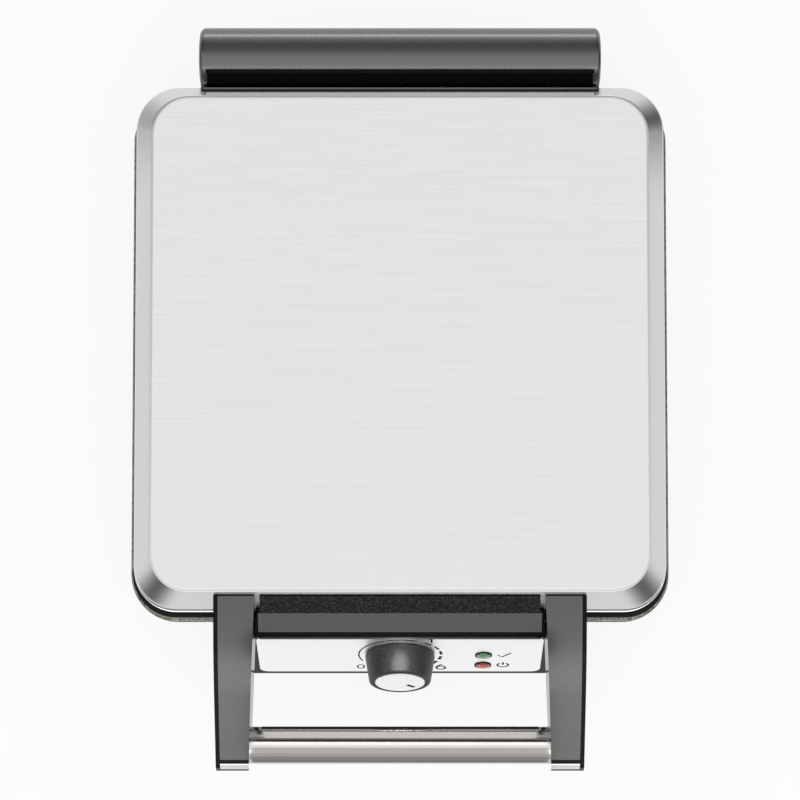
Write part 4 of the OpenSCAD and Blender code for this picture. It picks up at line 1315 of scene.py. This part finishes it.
@dataclass(frozen=True)
class GlowPaper(Finish):
    """Warm white paper of a card that glows evenly; level is the strength of its glow."""

    colour: Colour = (1.0, 0.99, 0.96)
    roughness: float = 0.5
    level: float = 1.0

    def paint(self, sheet: MaterialSheet) -> None:
        """Lets the glow stand for the whole surface."""
        glow = sheet.glow("ShaderNodeEmission", self.colour, self.level)
        sheet.join(glow, "Emission", sheet.output, "Surface")


@dataclass(frozen=True)
class FloorPaper(Finish):
    """Pale floor paper that looks nearly white to the camera and in reflections, and is clear from below.

    white_share is the share of plain white in it there; the rest keeps the object's shadow.
    """

    colour: Colour = grey(0.86)
    roughness: float = 0.9
    lightest: Colour = grey(0.90)
    fibre: float = 40.0
    white_share: float = 0.87

    def paint(self, sheet: MaterialSheet) -> None:
        """Adds the fibres, the white and the clear underside.

        Args:
            sheet: Tree to add them to.
        """
        sheet.tint(sheet.noise((self.fibre,) * 3, detail=4.0), self.colour, self.lightest)
        paths = sheet.add("ShaderNodeLightPath")
        seen = sheet.add("ShaderNodeMath", operation="MAXIMUM")
        sheet.join(paths, "Is Camera Ray", seen, 0)
        sheet.join(paths, "Is Glossy Ray", seen, 1)
        shown = sheet.add("ShaderNodeMath", operation="MAXIMUM")
        sheet.join(seen, 0, shown, 0)
        sheet.join(paths, "Is Transmission Ray", shown, 1)
        share = sheet.add("ShaderNodeMath", operation="MULTIPLY")
        share.inputs[1].default_value = self.white_share
        sheet.join(shown, 0, share, 0)
        above = sheet.either(share, 0, sheet.shader, sheet.glow("ShaderNodeEmission", grey(1.0)))
        side = sheet.add("ShaderNodeNewGeometry")
        both = sheet.either(side, "Backfacing", above, sheet.add("ShaderNodeBsdfTransparent"))
        sheet.join(both, "Shader", sheet.output, "Surface")


@dataclass(frozen=True)
class Lamp:
    """One soft lamp: its place, its width and height and the point that it faces, all in metres."""

    name: str
    at: Place
    size: Pair
    watts: float
    aim: Place = (0.0, 0.0, 0.06)
    spark: bool = False

    def build(self) -> None:
        """Adds the lamp; a spark is round, and only reflections show it."""
        data = bpy.data.lights.new(self.name, "AREA")
        data.shape = "ELLIPSE" if self.spark else "RECTANGLE"
        data.size, data.size_y = self.size
        data.energy = self.watts
        lamp = bpy.data.objects.new(self.name, data)
        lamp.location = self.at
        lamp.rotation_euler = (Vector(self.aim) - Vector(self.at)).to_track_quat("-Z", "Y").to_euler()
        lamp.visible_camera = lamp.visible_diffuse = not self.spark
        bpy.context.scene.collection.objects.link(lamp)


@dataclass(frozen=True)
class Card:
    """A card that only reflections show: half its width, the level of its glow and its side view (y, z)."""

    name: str
    half_w: float
    level: float
    profile: tuple[Pair, ...]

    def build(self) -> None:
        """Stands the card where its side view says."""
        rows = [[Vector((-self.half_w, y, z)), Vector((self.half_w, y, z))] for y, z in self.profile]
        stand(self.name, rows, GlowPaper(f"{self.name}_paper", level=self.level))


class Corner(Enum):
    """A corner of the lid, as its signs along x and y."""

    FRONT_LEFT = (-1, -1)
    FRONT_RIGHT = (1, -1)
    REAR_LEFT = (-1, 1)
    REAR_RIGHT = (1, 1)


@dataclass(frozen=True)
class Flag:
    """A soft-edged dark card off one corner of the lid, for the shading of that corner."""

    corner: Corner
    density: float
    size: Pair
    turn_deg: float = 0.0
    reach: float = 105.0
    corner_r: float = 23.0

    @property
    def name(self) -> str:
        """Its name, from its corner."""
        return f"flag_{self.corner.name.lower()}"

    def build(self) -> None:
        """Stands the flag upright, facing its corner."""
        low, high = box("lid_shell")
        wide, tall = self.size
        side, end = self.corner.value
        angle = math.atan2(end, side) - math.radians(self.turn_deg) * side * end
        out = Vector((math.cos(angle), math.sin(angle), 0))
        edge = (high.y if end > 0 else low.y) - end * self.corner_r
        corner = Vector((side * (high.x - self.corner_r), edge, 0))
        rows = [[Vector((-wide / 2, 0, z)), Vector((wide / 2, 0, z))] for z in (0.0, tall)]
        flag = stand(self.name, rows, SoftCloth(f"{self.name}_cloth", density=self.density))
        flag.location = (corner + out * self.reach) * MM
        flag.rotation_euler = (0.0, 0.0, angle + math.pi / 2)


def stand(name: str, rows: Sequence[Sequence[Vector]], finish: Finish) -> bpy.types.Object:
    """Stands a card that only reflections show.

    Args:
        name: Name of the card.
        rows: Rows of its corners, in millimetres.
        finish: What it is covered in.

    Returns:
        The card.
    """
    wide = len(rows[0])
    corners = [corner * MM for row in rows for corner in row]
    faces = [(r * wide + c, r * wide + c + 1, (r + 1) * wide + c + 1, (r + 1) * wide + c)
             for r in range(len(rows) - 1) for c in range(wide - 1)]
    card = staged(name, corners, faces, finish)
    card.visible_camera = card.visible_diffuse = card.visible_shadow = False
    return card


def staged(name: str, corners: Sequence[Sequence[float]], faces: Sequence[Sequence[int]],
           finish: Finish) -> bpy.types.Object:
    """Adds a thing that belongs to the studio and not to the object.

    Args:
        name: Its name.
        corners: Its points, in metres.
        faces: Its faces, as the numbers of their points.
        finish: What it is covered in.

    Returns:
        The thing.
    """
    data = bpy.data.meshes.new(name)
    data.from_pydata(corners, [], faces)
    data.materials.append(finish.material)
    thing = bpy.data.objects.new(name, data)
    bpy.context.scene.collection.objects.link(thing)
    return thing


@dataclass
class Studio:
    """Pale floor, soft lamps, surroundings, cards for the reflections, and the camera.

    sky holds the brightness of the surroundings from straight in front (-1) to straight behind (1), and
    side_fall the share of the way to either side where it starts and stops to fall, and what is left there.
    """

    aim: Place = (0.0, -3.975, 97.0)
    distance: float = 1361.0
    elevation_deg: float = 86.0
    lens: float = 117.0
    sensor: float = 36.0
    clip: Pair = (0.05, 20.0)
    floor_half_m: float = 3.0
    floor_drop: float = 0.1
    lamps: tuple[Lamp, ...] = (
        Lamp("knob_lamp", (0.0, -0.1395, 0.0622), (0.018, 0.015), 0.0048, aim=(0.0, -0.142, 0.0),
             spark=True),
        Lamp("front_lamp", (0.0, -1.2, 1.4), (1.8, 0.8), 6.0),
        Lamp("rear_lamp", (0.0, 1.6, 0.12), (1.6, 0.2), 4.0),
        Lamp("left_lamp", (-1.6, 0.0, 1.1), (1.4, 0.7), 5.0),
        Lamp("right_lamp", (1.6, 0.0, 1.1), (1.4, 0.7), 5.0),
    )
    flags: tuple[Flag, ...] = (
        Flag(Corner.FRONT_LEFT, 0.87, (140.0, 110.0)),
        Flag(Corner.FRONT_RIGHT, 0.87, (140.0, 110.0)),
        Flag(Corner.REAR_LEFT, 0.45, (150.0, 110.0), turn_deg=20.0),
        Flag(Corner.REAR_RIGHT, 0.9, (150.0, 110.0), turn_deg=20.0),
    )
    cards: tuple[Card, ...] = (
        Card("rear_card", 75.5, 0.97, ((-128.0, 62.0), (-128.0, 120.0))),
        # gap_card and under_card barely glow: dark sheets that put painted shade into reflections, at the gap
        # above the control face and by the handle bar.
        Card("gap_card", 75.5, 0.03, ((-129.7, 54.5), (-129.7, 61.8))),
        Card("line_card", 82.0, 0.04, ((-158.3, 131.0), (-136.0, 131.0))),
        Card("over_card", 82.0, 1.8, ((-181.0, 130.0), (-158.0, 130.0))),
        Card("front_card_high", 82.0, 0.76, ((-200.0, 135.0), (-226.0, 102.0))),
        Card("front_card_middle", 82.0, 0.62, ((-226.0, 102.0), (-237.0, 85.0))),
        Card("front_card_low", 82.0, 0.42, ((-237.0, 85.0), (-250.0, 60.0))),
        Card("low_card", 82.0, 0.34, ((-250.0, 60.0), (-250.0, 15.0))),
        # under_card: a dark sheet by the handle bar, painted shade in its reflections.
        Card("under_card", 74.0, 0.03, ((-174.0, 64.0), (-174.0, 48.0))),
        Card("lip_card", 103.0, 0.6, ((161.3, 90.2), (161.3, 96.4))),
    )
    sky: tuple[Pair, ...] = ((-1.0, 0.66), (-0.62, 1.12), (-0.3, 1.32), (-0.05, 1.36), (0.12, 1.14),
                             (0.32, 0.56), (0.5, 0.31), (0.7, 0.22), (0.85, 0.26), (1.0, 1.4))
    side_fall: tuple[float, float, float] = (0.3, 0.8, 0.3)

    def build(self) -> None:
        """Sets up the whole studio."""
        bpy.context.scene.view_settings.view_transform = "Standard"
        self.surroundings()
        self.floor()
        for item in (*self.lamps, *self.flags, *self.cards):
            item.build()
        self.camera()

    def surroundings(self) -> None:
        """White to the camera; to the object, bright in front, softer overhead, dim behind."""
        world = bpy.data.worlds.new("studio_surroundings")
        bpy.context.scene.world = world
        tree = NodeTree(world, "ShaderNodeOutputWorld")
        direction = tree.split("Generated")
        brightest = max(level for _, level in self.sky)
        stops = [((depth + 1) / 2, grey(level / brightest)) for depth, level in self.sky]
        along = tree.span(direction, "Y", (-1.0, 1.0), (0.0, 1.0))
        ramp = tree.ramp(along, "Result", stops, "B_SPLINE")
        width = tree.add("ShaderNodeMath", operation="ABSOLUTE")
        tree.join(direction, "X", width, 0)
        start, end, share = self.side_fall
        dim = tree.span(width, "Value", (start, end), (brightest, brightest * share))
        room = tree.add("ShaderNodeBackground")
        tree.join(ramp, "Color", room, "Color")
        tree.join(dim, "Result", room, "Strength")
        white = tree.glow("ShaderNodeBackground", grey(1.0))
        seen = tree.add("ShaderNodeLightPath")
        tree.join(tree.either(seen, "Is Camera Ray", room, white), "Shader", tree.output, "Surface")

    def floor(self) -> None:
        """Lays a plain pale floor just under the feet."""
        half = self.floor_half_m
        corners = [(-half, -half, 0), (half, -half, 0), (half, half, 0), (-half, half, 0)]
        floor = staged("floor", corners, [(0, 1, 2, 3)], FloorPaper("floor_paper"))
        floor.location.z = -self.floor_drop * MM

    def camera(self) -> None:
        """Places the camera over the object's front half, almost straight above."""
        rise = math.radians(self.elevation_deg)
        back = Vector((0.0, -math.cos(rise), math.sin(rise)))
        data = bpy.data.cameras.new("camera")
        data.lens, data.sensor_width = self.lens, self.sensor
        data.clip_start, data.clip_end = self.clip
        camera = bpy.data.objects.new("camera", data)
        camera.location = Vector(self.aim) * MM + back * self.distance * MM
        camera.rotation_euler = (-back).to_track_quat("-Z", "Y").to_euler()
        bpy.context.scene.collection.objects.link(camera)
        bpy.context.scene.camera = camera


def main() -> None:
    """Builds the sub-assemblies in order, then the studio, and reports each piece."""
    logging.basicConfig(level=logging.INFO, format="%(name)s: %(message)s")
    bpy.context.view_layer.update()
    lid = Lid()
    for assembly in (lid, HingeCover(lid), Handle(), Base(), Controls(), Studio()):
        LOG.info("building %s", type(assembly).__name__)
        assembly.build()


if __name__ == "__main__":
    main()
